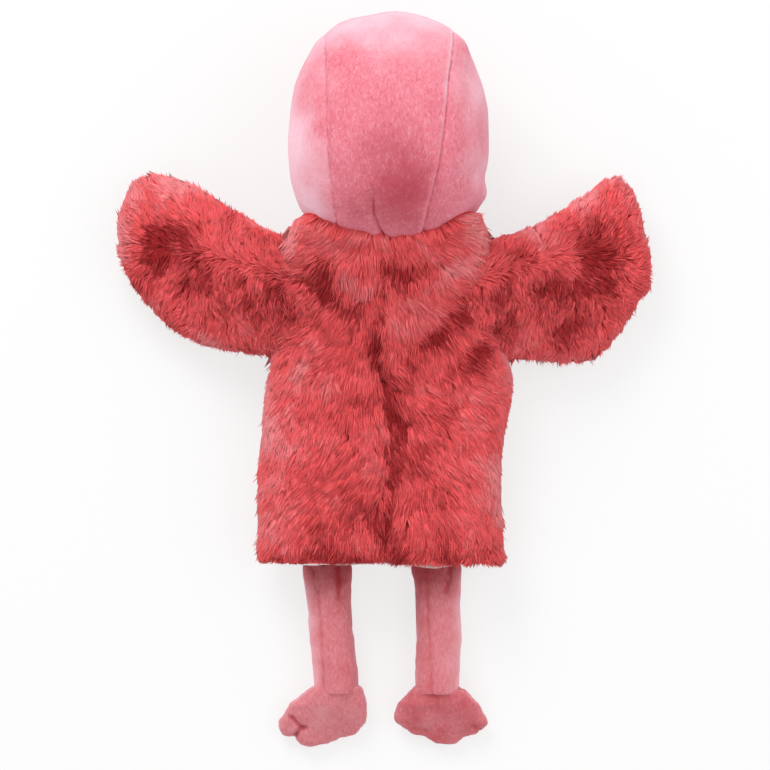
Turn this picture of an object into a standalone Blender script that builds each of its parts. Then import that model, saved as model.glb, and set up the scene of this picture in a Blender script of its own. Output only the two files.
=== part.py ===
"""A plush flamingo hand puppet, lying on its front with its back up.

Metres, +Z up. The floor is Z 0, the head points to +Y, the wings to -X and +X, the feet to -Y.
"""

import math

import bmesh
import bpy
import numpy as np

# Cloth and the room between its layers
SEAM_GAP = 0.0003
FUR_THICKNESS = 0.005
PLUSH_THICKNESS = 0.002
LINING_THICKNESS = 0.001
LINING_GAP = 0.0015
STUFFING_GAP = 0.0010

# Head: an egg about its middle, wide over the crown and short towards the nape
HEAD_X = 0.002
HEAD_Y = 0.118
HEAD_Z = 0.056
HEAD_HALF_WIDTH = 0.0503
HEAD_CROWN_LENGTH = 0.0655
HEAD_NAPE_LENGTH = 0.053
HEAD_HALF_DEPTH = 0.045
HEAD_PROFILE_POWER = 2.1
HEAD_SIDE_POWER = 2.5
HEAD_SIDE_POWER_CHANGE = 0.2
# Turns round the head in degrees: 0 the crown, 90 its back, 180 the neck, 270 the face
GUSSET_FRONT = -88.0
GUSSET_NAPE = 158.0
CHIN_NECK = 205.0
CHIN_FRONT = 270.0
GUSSET_HALF_WIDTHS = (
    (-90, 0.018), (0, 0.031), (60, 0.0300), (110, 0.0270), (150, 0.0215), (205, 0.0200), (270, 0.018)
)
GUSSET_MIDDLES = (
    (-90, 0.0), (0, 0.0), (60, -0.001), (110, -0.0025), (150, -0.0045), (205, -0.002), (270, 0.0)
)

# Fingers go through the neck into a pocket in the head
FINGER_BORE = 0.011
FINGER_POCKET_Z = 0.051
FINGER_POCKET_REACH = 0.032
FINGER_POCKET_END_Y = HEAD_Y + FINGER_POCKET_REACH

# Eyes: a dome with a shank through the plush, and a lock washer behind it
EYE_TURN = -50.0
EYE_SIDE = 0.037
EYE_RADIUS = 0.0055
EYE_DOME = 0.0038
EYE_SHANK_RADIUS = 0.002
EYE_SHANK_LENGTH = 0.009
WASHER_RADIUS = 0.0075
WASHER_THICKNESS = 0.0015
WASHER_DEPTH = 0.001
EYE_CLEARANCE = 0.0004

# Body: a flat sleeve from the hem up to the shoulders, then in to the head
HEM_Y = -0.090
COLLAR_DROP = 0.0355
NECK_LENGTH = 0.0165
COLLAR_SIDE_Y = HEAD_Y - COLLAR_DROP
SHOULDER_Y = COLLAR_SIDE_Y - NECK_LENGTH
HEM_WIDTH = 0.1215
HIP_WIDTH = 0.1210
CHEST_WIDTH = 0.1005
BODY_THICKNESS = 0.045
SHOULDER_UNDERSIDE = 0.024
SHOULDER_BACK = 0.075
BODY_POWER = 2.4
BODY_FLAT_DEPTH = 0.003
COLLAR_THICKNESS = 0.0028
COLLAR_BACK_DIP = 0.0115
COLLAR_BACK_SHARPNESS = 7
COLLAR_FRONT_DIP = 0.0105
COLLAR_FRONT_SHARPNESS = 2

# Folds of the fur's back, each a soft ridge or crease from one point to another
SEAM_VALLEY_DEPTH = 0.0025
SEAM_VALLEY_WIDTH = 0.0055
SEAM_TOP_Y = 0.030
SEAM_FADE = 0.02
BACK_SEAM_X = ((-0.090, 0.0010), (-0.030, 0.0005), (0.020, -0.0035), (0.066, 0.0010))
RIGHT_LAPEL = ((0.0225, 0.070), (0.0035, 0.020), 0.0080, 0.0045)
LEFT_LAPEL = ((-0.0400, 0.066), (-0.0110, 0.046), 0.0070, 0.0035)
WAIST_CREASE = ((0.0070, -0.004), (0.0500, -0.010), 0.0040, -0.0020)

# Glove lining
LINING_HEM_DROP = 0.0025
LINING_TOP_DROP = 0.006
LINING_TOP_Y = SHOULDER_Y - LINING_TOP_DROP
LINING_ROUNDING = 0.006
WING_POCKET_REACH = 0.106

# Wings: distance out from the middle, then how far above the shoulder the edge nearer the hem and
# the edge nearer the head lie
WING_ROOT = 0.038
WING_TIPS = {"left": 0.1335, "right": 0.1330}
WING_EDGES = {
    "left": (
        (0.038, -0.052, 0.003), (0.060, -0.053, 0.008), (0.085, -0.050, 0.025), (0.100, -0.046, 0.033),
        (0.110, -0.037, 0.037), (0.120, -0.026, 0.036), (0.1285, -0.016, 0.030), (0.1335, -0.004, 0.014),
    ),
    "right": (
        (0.038, -0.055, 0.003), (0.065, -0.055, 0.006), (0.090, -0.057, 0.019), (0.102, -0.057, 0.028),
        (0.112, -0.051, 0.034), (0.120, -0.038, 0.0365), (0.127, -0.026, 0.022), (0.133, -0.019, -0.008),
    ),
}
WING_ROOT_THICKNESS = 0.042
WING_TIP_THICKNESS = 0.026
WING_TIP_LEVEL = 0.0165
WING_EDGE_POWER = 2.3
WING_TIP_POWER = 6.0
WING_TIP_BORDER = 2.0
WING_DISH = {"left": (0.110, 0.001), "right": (0.102, -0.003)}
WING_DISH_DEPTH = 0.004
WING_DISH_RADIUS = 0.013

# Legs and feet
LEG_DIAMETER = 0.0235
LEG_TOP_WIDTH = 0.0270
LEG_TOP_THICKNESS = 0.0125
LEG_FLAT_SHARE = 0.22
ANKLE_Y = -0.154
LEG_MIDDLES = {"left": (-0.0292, -0.0275, -0.0240), "right": (0.0258, 0.0272, 0.0262)}
FOOT_LENGTH = 0.0295
FOOT_THICKNESS = 0.0215
FOOT_TOE_THICKNESS = 0.0110
FOOT_EDGE_POWER = 2.2
# Share of the foot's length, then its two edges from the ankle's middle
FOOT_EDGES = {
    "left": (
        (0.0, -0.0118, 0.0118), (0.15, -0.0190, 0.0145), (0.38, -0.0255, 0.0150), (0.60, -0.0290, 0.0145),
        (0.78, -0.0290, 0.0115), (0.90, -0.0245, 0.0040), (1.0, -0.0180, -0.0060),
    ),
    "right": (
        (0.0, -0.0118, 0.0118), (0.15, -0.0155, 0.0165), (0.38, -0.0210, 0.0230), (0.60, -0.0208, 0.0250),
        (0.78, -0.0150, 0.0225), (0.90, -0.0075, 0.0150), (1.0, 0.0000, 0.0085),
    ),
}

# Beak: a small bent sack that lies folded under the chin
BEAK_ROOT_RISE = 0.016
BEAK_LENGTH = 0.084
BEAK_TIP_LENGTH = 0.017
BEAK_ROOT_Y = HEAD_Y + BEAK_ROOT_RISE
BEAK_TIP_Y = BEAK_ROOT_Y - BEAK_LENGTH
BEAK_SPLIT_Y = BEAK_TIP_Y + BEAK_TIP_LENGTH
BEAK_WIDTH = 0.034
BEAK_THICKNESS = 0.0165
BEAK_MOUTH_RADIUS = 0.0095
BEAK_EDGE_POWER = 2.3
BEAK_LEAST_HALF = 0.0008
# Share of the way from root to tip, then shares of the full width and thickness
BEAK_SHAPE = (
    (0.0, 0.30, 0.55), (0.10, 0.75, 0.85), (0.25, 1.0, 1.0), (0.45, 0.93, 0.95),
    (0.65, 0.78, 0.82), (0.82, 0.60, 0.68), (0.93, 0.42, 0.52), (1.0, 0.18, 0.28),
)

SIDES = {"left": -1, "right": 1}

# How far a cutter runs past the face that it opens
CUTTER_OVERRUN = 0.01
EDGE_ANGLE = math.radians(50)


def finish(name, red, green, blue, roughness):
    """A material of one colour, given as the eye reads it, from 0 to 255."""
    made = bpy.data.materials.new(name)
    made.use_nodes = True
    shader = made.node_tree.nodes["Principled BSDF"]
    linear = [((part / 255 + 0.055) / 1.055) ** 2.4 for part in (red, green, blue)]
    shader.inputs["Base Color"].default_value = (*linear, 1)
    shader.inputs["Roughness"].default_value = roughness
    shader.inputs["Metallic"].default_value = 0
    return made


def along(stations, place):
    """The value at a place on the smooth curve through (place, value) stations."""
    places, values = zip(*stations)
    slopes = np.gradient(values, places)
    i = int(np.clip(np.searchsorted(places, place) - 1, 0, len(places) - 2))
    run = places[i + 1] - places[i]
    t = min(max((place - places[i]) / run, 0.0), 1.0)
    start = values[i] * (1 + 2 * t) * (1 - t) ** 2 + run * slopes[i] * t * (1 - t) ** 2
    end = values[i + 1] * t * t * (3 - 2 * t) - run * slopes[i + 1] * t * t * (1 - t)
    return float(start + end)


def ease(share):
    return share * share * (3 - 2 * share)


def lobe(angle, power):
    """A point on a squarish circle of radius 1."""
    across, up = math.cos(angle), math.sin(angle)
    return (
        math.copysign(abs(across) ** (2 / power), across),
        math.copysign(abs(up) ** (2 / power), up),
    )


def rounded(share, power):
    """Falls from 1 in the middle to 0 at a share of 1, as a squarish circle does."""
    return max(0.0, 1 - abs(share) ** power) ** (1 / power)


def spread(first, last, steps):
    return [first + (last - first) * i / steps for i in range(steps + 1)]


def beside(row, closed):
    after = row[1:] + row[:1] if closed else row[1:]
    return list(zip(row, after))


def bridge(mesh, first, second, closed):
    """Faces between two rows of vertices, one of which may be a single point."""
    if len(first) == 1 or len(second) == 1:
        ring, tip = (second, first[0]) if len(first) == 1 else (first, second[0])
        for a, b in beside(ring, closed):
            mesh.faces.new((a, b, tip))
        return
    for (a, b), (c, d) in zip(beside(first, closed), beside(second, closed)):
        mesh.faces.new((a, b, d, c))


def add(name, mesh, made_of):
    """A new object from a closed bmesh, its faces turned outwards."""
    bmesh.ops.recalc_face_normals(mesh, faces=mesh.faces[:])
    if mesh.calc_volume(signed=True) < 0:
        bmesh.ops.reverse_faces(mesh, faces=mesh.faces[:])
    data = bpy.data.meshes.new(name)
    mesh.to_mesh(data)
    mesh.free()
    data.materials.append(made_of)
    data.shade_smooth()
    data.set_sharp_from_angle(angle=EDGE_ANGLE)
    item = bpy.data.objects.new(name, data)
    bpy.context.scene.collection.objects.link(item)
    return item


def shell(name, outer, inner, made_of, closed=False):
    """A cloth panel: two walls of points, joined along their open edges."""
    mesh = bmesh.new()
    walls = [[[mesh.verts.new(point) for point in row] for row in rows] for rows in (outer, inner)]
    for wall in walls:
        for first, second in zip(wall, wall[1:]):
            bridge(mesh, first, second, closed)
    for end in (0, -1):
        if len(walls[0][end]) > 1:
            bridge(mesh, walls[0][end], walls[1][end], closed)
    if not closed:
        for side in (0, -1):
            bridge(mesh, [row[side] for row in walls[0]], [row[side] for row in walls[1]], False)
    return add(name, mesh, made_of)


def solid(name, rings, made_of):
    """A closed body through rings of points, its ends capped or drawn to a point."""
    mesh = bmesh.new()
    rows = [[mesh.verts.new(point) for point in ring] for ring in rings]
    for first, second in zip(rows, rows[1:]):
        bridge(mesh, first, second, True)
    for end in (rows[0], rows[-1]):
        if len(end) > 1:
            mesh.faces.new(end)
    return add(name, mesh, made_of)


def tube(name, radius, start, end, sides, made_of):
    """A round rod between two points."""
    axis = np.subtract(end, start)
    axis = axis / np.linalg.norm(axis)
    across = np.cross(axis, (0, 0, 1) if abs(axis[2]) < 0.9 else (0, 1, 0))
    across = across / np.linalg.norm(across)
    up = np.cross(across, axis)
    turns = [2 * math.pi * i / sides for i in range(sides)]
    ring = [radius * (math.cos(turn) * across + math.sin(turn) * up) for turn in turns]
    return solid(name, [[np.add(place, spoke) for spoke in ring] for place in (start, end)], made_of)


def helper(item):
    """An object that only shapes others."""
    item.hide_render = True
    item.display_type = "WIRE"
    return item


def combine(item, other, operation, solver="EXACT"):
    modifier = item.modifiers.new(other.name, "BOOLEAN")
    modifier.operation = operation
    modifier.solver = solver
    modifier.object = other


# Head


def head_slim(side, turn, inset):
    """How far the head's outline draws in at a distance sideways."""
    power = HEAD_SIDE_POWER - HEAD_SIDE_POWER_CHANGE * math.cos(turn)
    return rounded(side / (HEAD_HALF_WIDTH - inset), power)


def head_outline(turn, inset):
    """Distance from the middle to the skin in the plane X 0."""
    along_y, along_z = math.cos(turn), math.sin(turn)
    length = (HEAD_CROWN_LENGTH if along_y > 0 else HEAD_NAPE_LENGTH) - inset
    depth = HEAD_HALF_DEPTH - inset
    total = abs(along_y / length) ** HEAD_PROFILE_POWER + abs(along_z / depth) ** HEAD_PROFILE_POWER
    return total ** (-1 / HEAD_PROFILE_POWER)


def head_point(side, turn, inset=0.0):
    reach = head_slim(side, turn, inset) * head_outline(turn, inset)
    return (HEAD_X + side, HEAD_Y + reach * math.cos(turn), HEAD_Z + reach * math.sin(turn))


def head_reach(y, across, up):
    """Distance from the head's long axis to its skin at Y, in the direction (across, up)."""
    near, far = 0.0, HEAD_HALF_WIDTH + HEAD_HALF_DEPTH
    for _ in range(40):
        reach = (near + far) / 2
        turn = math.atan2(reach * up, y - HEAD_Y)
        out = math.hypot(y - HEAD_Y, reach * up)
        inside = out < head_slim(reach * across, turn, 0.0) * head_outline(turn, 0.0)
        near, far = (reach, far) if inside else (near, reach)
    return near


def gusset_edge(turn_degrees, side):
    wrapped = (turn_degrees + 90) % 360 - 90
    half, middle = along(GUSSET_HALF_WIDTHS, wrapped), along(GUSSET_MIDDLES, wrapped)
    return middle + side * half


def head_strip(name, first, last, steps, made_of, columns=6):
    """The head's middle strip between two turns round it."""
    walls = []
    for inset in (0.0, PLUSH_THICKNESS):
        rows = []
        for turn in spread(first, last, steps):
            left = gusset_edge(turn, -1) + SEAM_GAP / 2
            right = gusset_edge(turn, 1) - SEAM_GAP / 2
            sides = spread(left, right, columns)
            rows.append([head_point(side, math.radians(turn), inset) for side in sides])
        walls.append(rows)
    return shell(name, *walls, made_of)


def head_cap(name, side, made_of, steps=24, rounds=5):
    """A side panel: from the seam out to the cheek."""
    turns = spread(0, 360, steps)[:-1]
    walls = []
    for inset in (0.0, PLUSH_THICKNESS):
        pole = HEAD_HALF_WIDTH - inset
        rows = []
        for share in spread(0, 1, rounds)[:-1]:
            out = math.sin(share * math.pi / 2)
            row = []
            for turn in turns:
                edge = abs(gusset_edge(turn, side)) + SEAM_GAP / 2
                row.append(head_point(side * (edge + (pole - edge) * out), math.radians(turn), inset))
            rows.append(row)
        rows.append([(HEAD_X + side * pole, HEAD_Y, HEAD_Z)])
        walls.append(rows)
    return shell(name, *walls, made_of, closed=True)


def head_body(name, inset, made_of, steps=12, sides=24):
    """The whole head as one solid, drawn in or out from its skin."""
    turns = [math.radians(turn) for turn in spread(0, 360, sides)[:-1]]
    pole = HEAD_HALF_WIDTH - inset
    rings = [[(HEAD_X - pole, HEAD_Y, HEAD_Z)]]
    for angle in spread(-90, 90, steps)[1:-1]:
        side = pole * math.sin(math.radians(angle))
        rings.append([head_point(side, turn, inset) for turn in turns])
    rings.append([(HEAD_X + pole, HEAD_Y, HEAD_Z)])
    return solid(name, rings, made_of)


# Body


def body_share(y):
    return (y - HEM_Y) / (SHOULDER_Y - HEM_Y)


def body_middle(y):
    lean = ((0, -0.0022), (0.36, -0.0020), (0.58, 0.0027), (0.80, 0.0015), (1, 0.0005))
    return along(lean, body_share(y))


def body_half_width(y):
    widths = (
        (0, HEM_WIDTH), (0.36, HEM_WIDTH - 0.0015), (0.58, HIP_WIDTH),
        (0.78, (HIP_WIDTH + CHEST_WIDTH) / 2 - 0.003), (1, CHEST_WIDTH),
    )
    return along(widths, body_share(y)) / 2


def body_underside(y):
    lift = ((0, 0), (0.55, 0), (0.62, 0.02), (0.76, 0.28), (0.90, 0.70), (1, 1))
    return max(0.0, along(lift, body_share(y)) * SHOULDER_UNDERSIDE)


def body_back(y):
    rise = ((0, -0.08), (0.25, 0.0), (0.58, 0.12), (0.76, 0.35), (0.90, 0.72), (1, 1))
    return BODY_THICKNESS + along(rise, body_share(y)) * (SHOULDER_BACK - BODY_THICKNESS)


def body_level(y):
    """Height of the body's side seam."""
    return (body_underside(y) - BODY_FLAT_DEPTH + body_back(y)) / 2


def seam_x(y):
    return along(BACK_SEAM_X, y)


def fold(x, y, shape):
    """Height at (x, y) of a ridge, or of a crease where its height is below 0."""
    start, end, width, height = shape
    run = np.subtract(end, start)
    share = float(np.clip(np.dot((x - start[0], y - start[1]), run) / np.dot(run, run), 0, 1))
    off = math.hypot(x - start[0] - share * run[0], y - start[1] - share * run[1])
    return height * math.exp(-((off / width) ** 2))


def back_folds(x, y):
    valley = SEAM_VALLEY_DEPTH * math.exp(-(((x - seam_x(y)) / SEAM_VALLEY_WIDTH) ** 2))
    valley *= min(1.0, max(0.0, (SEAM_TOP_Y - y) / SEAM_FADE))
    return sum(fold(x, y, shape) for shape in (RIGHT_LAPEL, LEFT_LAPEL, WAIST_CREASE)) - valley


def body_point(y, angle, inset, folded=True):
    across, up = lobe(angle, BODY_POWER)
    x = body_middle(y) + (body_half_width(y) - inset) * across
    low = body_underside(y) - BODY_FLAT_DEPTH + inset
    high = body_back(y) - inset
    z = (low + high) / 2 + (high - low) / 2 * up
    if up > 0 and folded:
        z += back_folds(x, y) * min(1.0, 2 * up)
    return (x, y, max(z, body_underside(y) + inset))


def collar_point(angle, inset):
    """The fur's edge on the head, at an angle round the neck."""
    share = 1 - inset / FUR_THICKNESS
    across, up = lobe(angle, BODY_POWER)
    across, up = across * HEAD_HALF_WIDTH, up * HEAD_HALF_WIDTH / 2
    length = math.hypot(across, up)
    across, up = across / length, up / length
    dip = COLLAR_BACK_DIP * max(0.0, math.sin(angle)) ** COLLAR_BACK_SHARPNESS
    dip += COLLAR_FRONT_DIP * max(0.0, -math.sin(angle)) ** COLLAR_FRONT_SHARPNESS
    y = COLLAR_SIDE_Y - dip
    reach = head_reach(y, across, up) + SEAM_GAP + COLLAR_THICKNESS * share
    return (HEAD_X + across * reach, y, HEAD_Z + up * reach)


def body_rows(angles_at, inset, steps):
    """Rows of points from the hem to the collar, on the angles that angles_at gives for a Y."""
    rows = []
    for y in spread(HEM_Y, SHOULDER_Y, steps):
        rows.append([body_point(y, angle, inset, folded=inset <= 0) for angle in angles_at(y)])
    shoulder = rows[-1]
    collar = [collar_point(angle, inset) for angle in angles_at(SHOULDER_Y)]
    rows.append([tuple(np.add(a, b) / 2) for a, b in zip(shoulder, collar)])
    rows.append(collar)
    return rows


def seam_angle(y):
    """The angle round the body at which its back seam lies."""
    off = (seam_x(y) - body_middle(y)) / body_half_width(y)
    return math.acos(math.copysign(abs(off) ** (BODY_POWER / 2), off))


def body_panel(name, angles_at, steps, shifts, made_of):
    """A fur panel whose first and last columns stand off their seams by these shifts."""
    walls = []
    for inset in (0.0, FUR_THICKNESS):
        rows = body_rows(angles_at, inset, steps)
        for row in rows:
            row[0] = tuple(np.add(row[0], shifts[0]))
            row[-1] = tuple(np.add(row[-1], shifts[1]))
        walls.append(rows)
    return shell(name, *walls, made_of)


# Wings


def wing_point(side, share, across, top, inset, tip=None):
    """A point on a wing: share runs from root to tip, across from the hem edge to the head edge."""
    sign = SIDES[side]
    tip = WING_TIPS[side] if tip is None else tip
    reach = WING_ROOT + (tip - inset - WING_ROOT) * share
    edges = WING_EDGES[side]
    border = inset * (1 + WING_TIP_BORDER * share**4)
    low = along([(place, edge) for place, edge, _ in edges], reach) + border
    high = along([(place, edge) for place, _, edge in edges], reach) - border
    y = SHOULDER_Y + (low + high) / 2 + (high - low) / 2 * across
    out = (reach - WING_ROOT) / (WING_TIPS[side] - WING_ROOT)
    thickness = WING_ROOT_THICKNESS + (WING_TIP_THICKNESS - WING_ROOT_THICKNESS) * ease(out)
    rise = (thickness / 2 - inset) * rounded(across, WING_EDGE_POWER) * rounded(share, WING_TIP_POWER)
    level = body_level(y) + (WING_TIP_LEVEL - body_level(y)) * ease(min(1.0, 1.25 * out))
    middle = WING_DISH[side]
    off = math.hypot(reach - middle[0], y - SHOULDER_Y - middle[1]) / WING_DISH_RADIUS
    level -= WING_DISH_DEPTH * math.exp(-off * off)
    z = level + top * max(rise, SEAM_GAP / 2)
    return (sign * reach, y, max(z, inset))


def eased(first, last, steps):
    """Steps that draw together towards -1 and 1, where an edge curves in."""
    return [math.sin(math.pi / 2 * share) for share in spread(first, last, steps)]


def wing_panel(name, side, top, made_of, shares=8, steps=8):
    walls = []
    for inset in (0.0, FUR_THICKNESS):
        rows = []
        for share in eased(0, 1, shares):
            rows.append([wing_point(side, share, across, top, inset) for across in eased(-1, 1, steps)])
        walls.append(rows)
    return shell(name, *walls, made_of)


def wing_body(name, side, inset, made_of, tip=None, shares=7, steps=6):
    """The room inside a wing as one solid."""
    rings = []
    for share in eased(0, 1, shares):
        upper = [wing_point(side, share, across, 1, inset, tip) for across in eased(-1, 1, steps)]
        lower = [wing_point(side, share, across, -1, inset, tip) for across in eased(-1, 1, steps)]
        rings.append(upper + lower[::-1])
    return solid(name, rings, made_of)


# Legs and feet


def leg_ring(side, share, inset, sides=12):
    """A ring round a leg: share runs from the hem down to the ankle."""
    top, knee, ankle = LEG_MIDDLES[side]
    first_y = HEM_Y - LINING_HEM_DROP - 2 * SEAM_GAP
    y = first_y + (ANKLE_Y - first_y) * share
    flat = 1 - ease(min(1.0, share / LEG_FLAT_SHARE))
    width = LEG_DIAMETER + (LEG_TOP_WIDTH - LEG_DIAMETER) * flat
    height = LEG_DIAMETER + (LEG_TOP_THICKNESS - LEG_DIAMETER) * flat
    middle = along(((0, top), (0.5, knee), (1, ankle)), share)
    points = []
    for angle in spread(0, 2 * math.pi, sides)[:-1]:
        across, up = lobe(angle, FOOT_EDGE_POWER)
        x = middle + (width / 2 - inset) * across
        points.append((x, y, height / 2 + (height / 2 - inset) * up))
    return points


def foot_point(side, share, across, top, inset):
    edges = FOOT_EDGES[side]
    middle = LEG_MIDDLES[side][2]
    y = ANKLE_Y - SEAM_GAP - (FOOT_LENGTH - inset) * share
    place = share * (FOOT_LENGTH - inset) / FOOT_LENGTH
    low = middle + along([(at, edge) for at, edge, _ in edges], place) + inset
    high = middle + along([(at, edge) for at, _, edge in edges], place) - inset
    x = (low + high) / 2 + (high - low) / 2 * across
    thickness = FOOT_THICKNESS + (FOOT_TOE_THICKNESS - FOOT_THICKNESS) * ease(place)
    rise = (thickness / 2 - inset) * rounded(across, FOOT_EDGE_POWER) * rounded(share, FOOT_EDGE_POWER)
    return (x, y, thickness / 2 + top * max(rise, SEAM_GAP / 2))


def foot_panel(name, side, top, made_of, shares=5, steps=7):
    walls = []
    for inset in (0.0, PLUSH_THICKNESS):
        rows = []
        for share in eased(0, 1, shares):
            rows.append([foot_point(side, share, across, top, inset) for across in eased(-1, 1, steps)])
        walls.append(rows)
    return shell(name, *walls, made_of)


def foot_body(name, side, inset, made_of, shares=5, steps=6):
    rings = []
    for share in eased(0, 1, shares):
        upper = [foot_point(side, share, across, 1, inset) for across in eased(-1, 1, steps)]
        lower = [foot_point(side, share, across, -1, inset) for across in eased(-1, 1, steps)]
        rings.append(upper + lower[::-1])
    return solid(name, rings, made_of)


# Beak


def beak_body(name, inset, first_y, last_y, made_of, steps=9, sides=12):
    """The beak as one solid between two places along it, its tip drawn in by the inset."""
    rings = []
    for y in spread(first_y, last_y, steps):
        share = (BEAK_ROOT_Y - y) / (BEAK_ROOT_Y - BEAK_TIP_Y)
        half = along([(at, width) for at, width, _ in BEAK_SHAPE], share) * BEAK_WIDTH / 2 - inset
        thickness = along([(at, height) for at, _, height in BEAK_SHAPE], share) * BEAK_THICKNESS
        points = []
        for angle in spread(0, 2 * math.pi, sides)[:-1]:
            across, up = lobe(angle, BEAK_EDGE_POWER)
            x = HEAD_X + max(half, BEAK_LEAST_HALF) * across
            rise = max(thickness / 2 - inset, BEAK_LEAST_HALF)
            points.append((x, y, thickness / 2 + rise * up))
        rings.append(points)
    return solid(name, rings, made_of)


# The puppet

for old in list(bpy.data.objects):
    bpy.data.objects.remove(old)

pink_plush = finish("pink_plush", 238, 143, 160, 0.9)
coral_fur = finish("coral_fur", 205, 84, 88, 0.95)
pale_lining = finish("pale_lining", 232, 178, 178, 0.85)
stuffing = finish("stuffing", 240, 238, 232, 0.95)
black_plush = finish("black_plush", 34, 32, 34, 0.9)
black_plastic = finish("black_plastic", 12, 11, 12, 0.12)
white_plastic = finish("white_plastic", 225, 225, 222, 0.5)

STUFFING_INSET = PLUSH_THICKNESS + STUFFING_GAP

# Head
head_strip("head_gusset", GUSSET_FRONT, GUSSET_NAPE, 20, pink_plush)
head_strip("head_chin", CHIN_NECK, CHIN_FRONT, 5, pink_plush)
caps = {side: head_cap(f"head_side_{side}", SIDES[side], pink_plush) for side in SIDES}
filling = head_body("head_filling", STUFFING_INSET, stuffing)

pocket_start = (HEAD_X, LINING_TOP_Y + SEAM_GAP, FINGER_POCKET_Z)
pocket_end = (HEAD_X, FINGER_POCKET_END_Y, FINGER_POCKET_Z)
pocket_radius = FINGER_BORE + LINING_THICKNESS
pocket = tube("head_finger_pocket", pocket_radius, pocket_start, pocket_end, 16, pale_lining)
cutter_start = np.subtract(pocket_start, (0, CUTTER_OVERRUN, 0))
bore_end = np.subtract(pocket_end, (0, LINING_THICKNESS, 0))
finger_bore = helper(tube("finger_bore", FINGER_BORE, cutter_start, bore_end, 16, pale_lining))
combine(pocket, finger_bore, "DIFFERENCE")
room_end = np.add(pocket_end, (0, LINING_GAP, 0))
room_radius = pocket_radius + LINING_GAP
pocket_room = helper(tube("pocket_room", room_radius, cutter_start, room_end, 16, stuffing))
combine(filling, pocket_room, "DIFFERENCE")

# Eyes
for side, sign in SIDES.items():
    turn = math.radians(EYE_TURN)
    seat = np.array(head_point(sign * EYE_SIDE, turn))
    # Two short steps over the skin give the way that the eye faces
    ahead = np.subtract(head_point(sign * EYE_SIDE, turn + math.radians(1)), seat)
    outward = np.subtract(head_point(sign * (EYE_SIDE + EYE_CLEARANCE), turn), seat)
    normal = np.cross(ahead, outward)
    normal = normal / np.linalg.norm(normal)
    if np.dot(normal, seat - np.array((HEAD_X, HEAD_Y, HEAD_Z))) < 0:
        normal = -normal
    across = ahead / np.linalg.norm(ahead)
    up = np.cross(normal, across)
    profile = [(EYE_SHANK_RADIUS, -EYE_SHANK_LENGTH), (EYE_SHANK_RADIUS, EYE_CLEARANCE)]
    for angle in spread(0, 90, 4)[:-1]:
        bend = math.radians(angle)
        profile.append((EYE_RADIUS * math.cos(bend), EYE_CLEARANCE + EYE_DOME * math.sin(bend)))
    turns = [2 * math.pi * i / 12 for i in range(12)]
    rings = [
        [seat + out * (math.cos(t) * across + math.sin(t) * up) + rise * normal for t in turns]
        for out, rise in profile
    ]
    rings.append([seat + (EYE_CLEARANCE + EYE_DOME) * normal])
    solid(f"eye_{side}", rings, black_plastic)
    hole_radius = EYE_SHANK_RADIUS + EYE_CLEARANCE
    hole_back = seat - (EYE_SHANK_LENGTH + EYE_CLEARANCE) * normal
    in_front = seat + CUTTER_OVERRUN * normal
    shank_hole = helper(tube(f"eye_hole_{side}", hole_radius, hole_back, in_front, 12, pink_plush))
    combine(caps[side], shank_hole, "DIFFERENCE")
    washer_front = seat - (STUFFING_INSET + WASHER_DEPTH) * normal
    washer_back = washer_front - WASHER_THICKNESS * normal
    washer = tube(f"eye_washer_{side}", WASHER_RADIUS, washer_back, washer_front, 12, white_plastic)
    combine(washer, shank_hole, "DIFFERENCE")
    room_back = washer_back - EYE_CLEARANCE * normal
    room_radius = WASHER_RADIUS + EYE_CLEARANCE
    washer_room = helper(tube(f"washer_room_{side}", room_radius, room_back, in_front, 12, stuffing))
    combine(filling, washer_room, "DIFFERENCE")
    combine(filling, shank_hole, "DIFFERENCE")

# Body
head_room = helper(head_body("head_room", -1.5 * SEAM_GAP, stuffing, steps=20, sides=36))
lift, push = (0, 0, SEAM_GAP / 2), (SEAM_GAP / 2, 0, 0)
fur_panels = [
    body_panel(
        "back_panel_left", lambda y: spread(math.pi, seam_angle(y), 9), 13,
        (lift, np.negative(push)), coral_fur,
    ),
    body_panel(
        "back_panel_right", lambda y: spread(seam_angle(y), 0, 9), 13, (push, lift), coral_fur
    ),
    body_panel(
        "front_panel", lambda y: spread(math.pi, 2 * math.pi, 12), 10,
        (np.negative(lift), np.negative(lift)), coral_fur,
    ),
]
arm_rooms = [helper(wing_body(f"arm_room_{side}", side, FUR_THICKNESS, coral_fur, steps=8)) for side in SIDES]
for panel in fur_panels:
    combine(panel, head_room, "DIFFERENCE")
    for arm_room in arm_rooms:
        combine(panel, arm_room, "DIFFERENCE")

# Wings, each sewn to the body's side
round_angles = spread(0, 2 * math.pi, 32)[:-1]
body_rings = body_rows(lambda y: round_angles, -2 * SEAM_GAP, 13)
body_room = helper(solid("body_room", [*body_rings, [(HEAD_X, COLLAR_SIDE_Y, HEAD_Z)]], coral_fur))
for side in SIDES:
    for name, top in (("back", 1), ("front", -1)):
        panel = wing_panel(f"wing_{name}_{side}", side, top, coral_fur)
        combine(panel, body_room, "DIFFERENCE", "MANIFOLD")

# Glove lining
LINING_INSET = FUR_THICKNESS + LINING_GAP


def lining_body(name, inset, hem_y, top_y):
    """The lining's main sleeve as one solid, its top edge rounded off."""
    angles = spread(0, 2 * math.pi, 18)[:-1]
    places = [(y, inset) for y in spread(hem_y, top_y - LINING_ROUNDING, 7)]
    for bend in (math.radians(45), math.radians(90)):
        drop = LINING_ROUNDING * (1 - math.sin(bend))
        places.append((top_y - drop, inset + LINING_ROUNDING * (1 - math.cos(bend))))
    rings = []
    for y, depth in places:
        ring = [body_point(max(y, HEM_Y), angle, depth, False) for angle in angles]
        rings.append([(x, y, z) for x, _, z in ring])
    return solid(name, rings, pale_lining)


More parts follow.
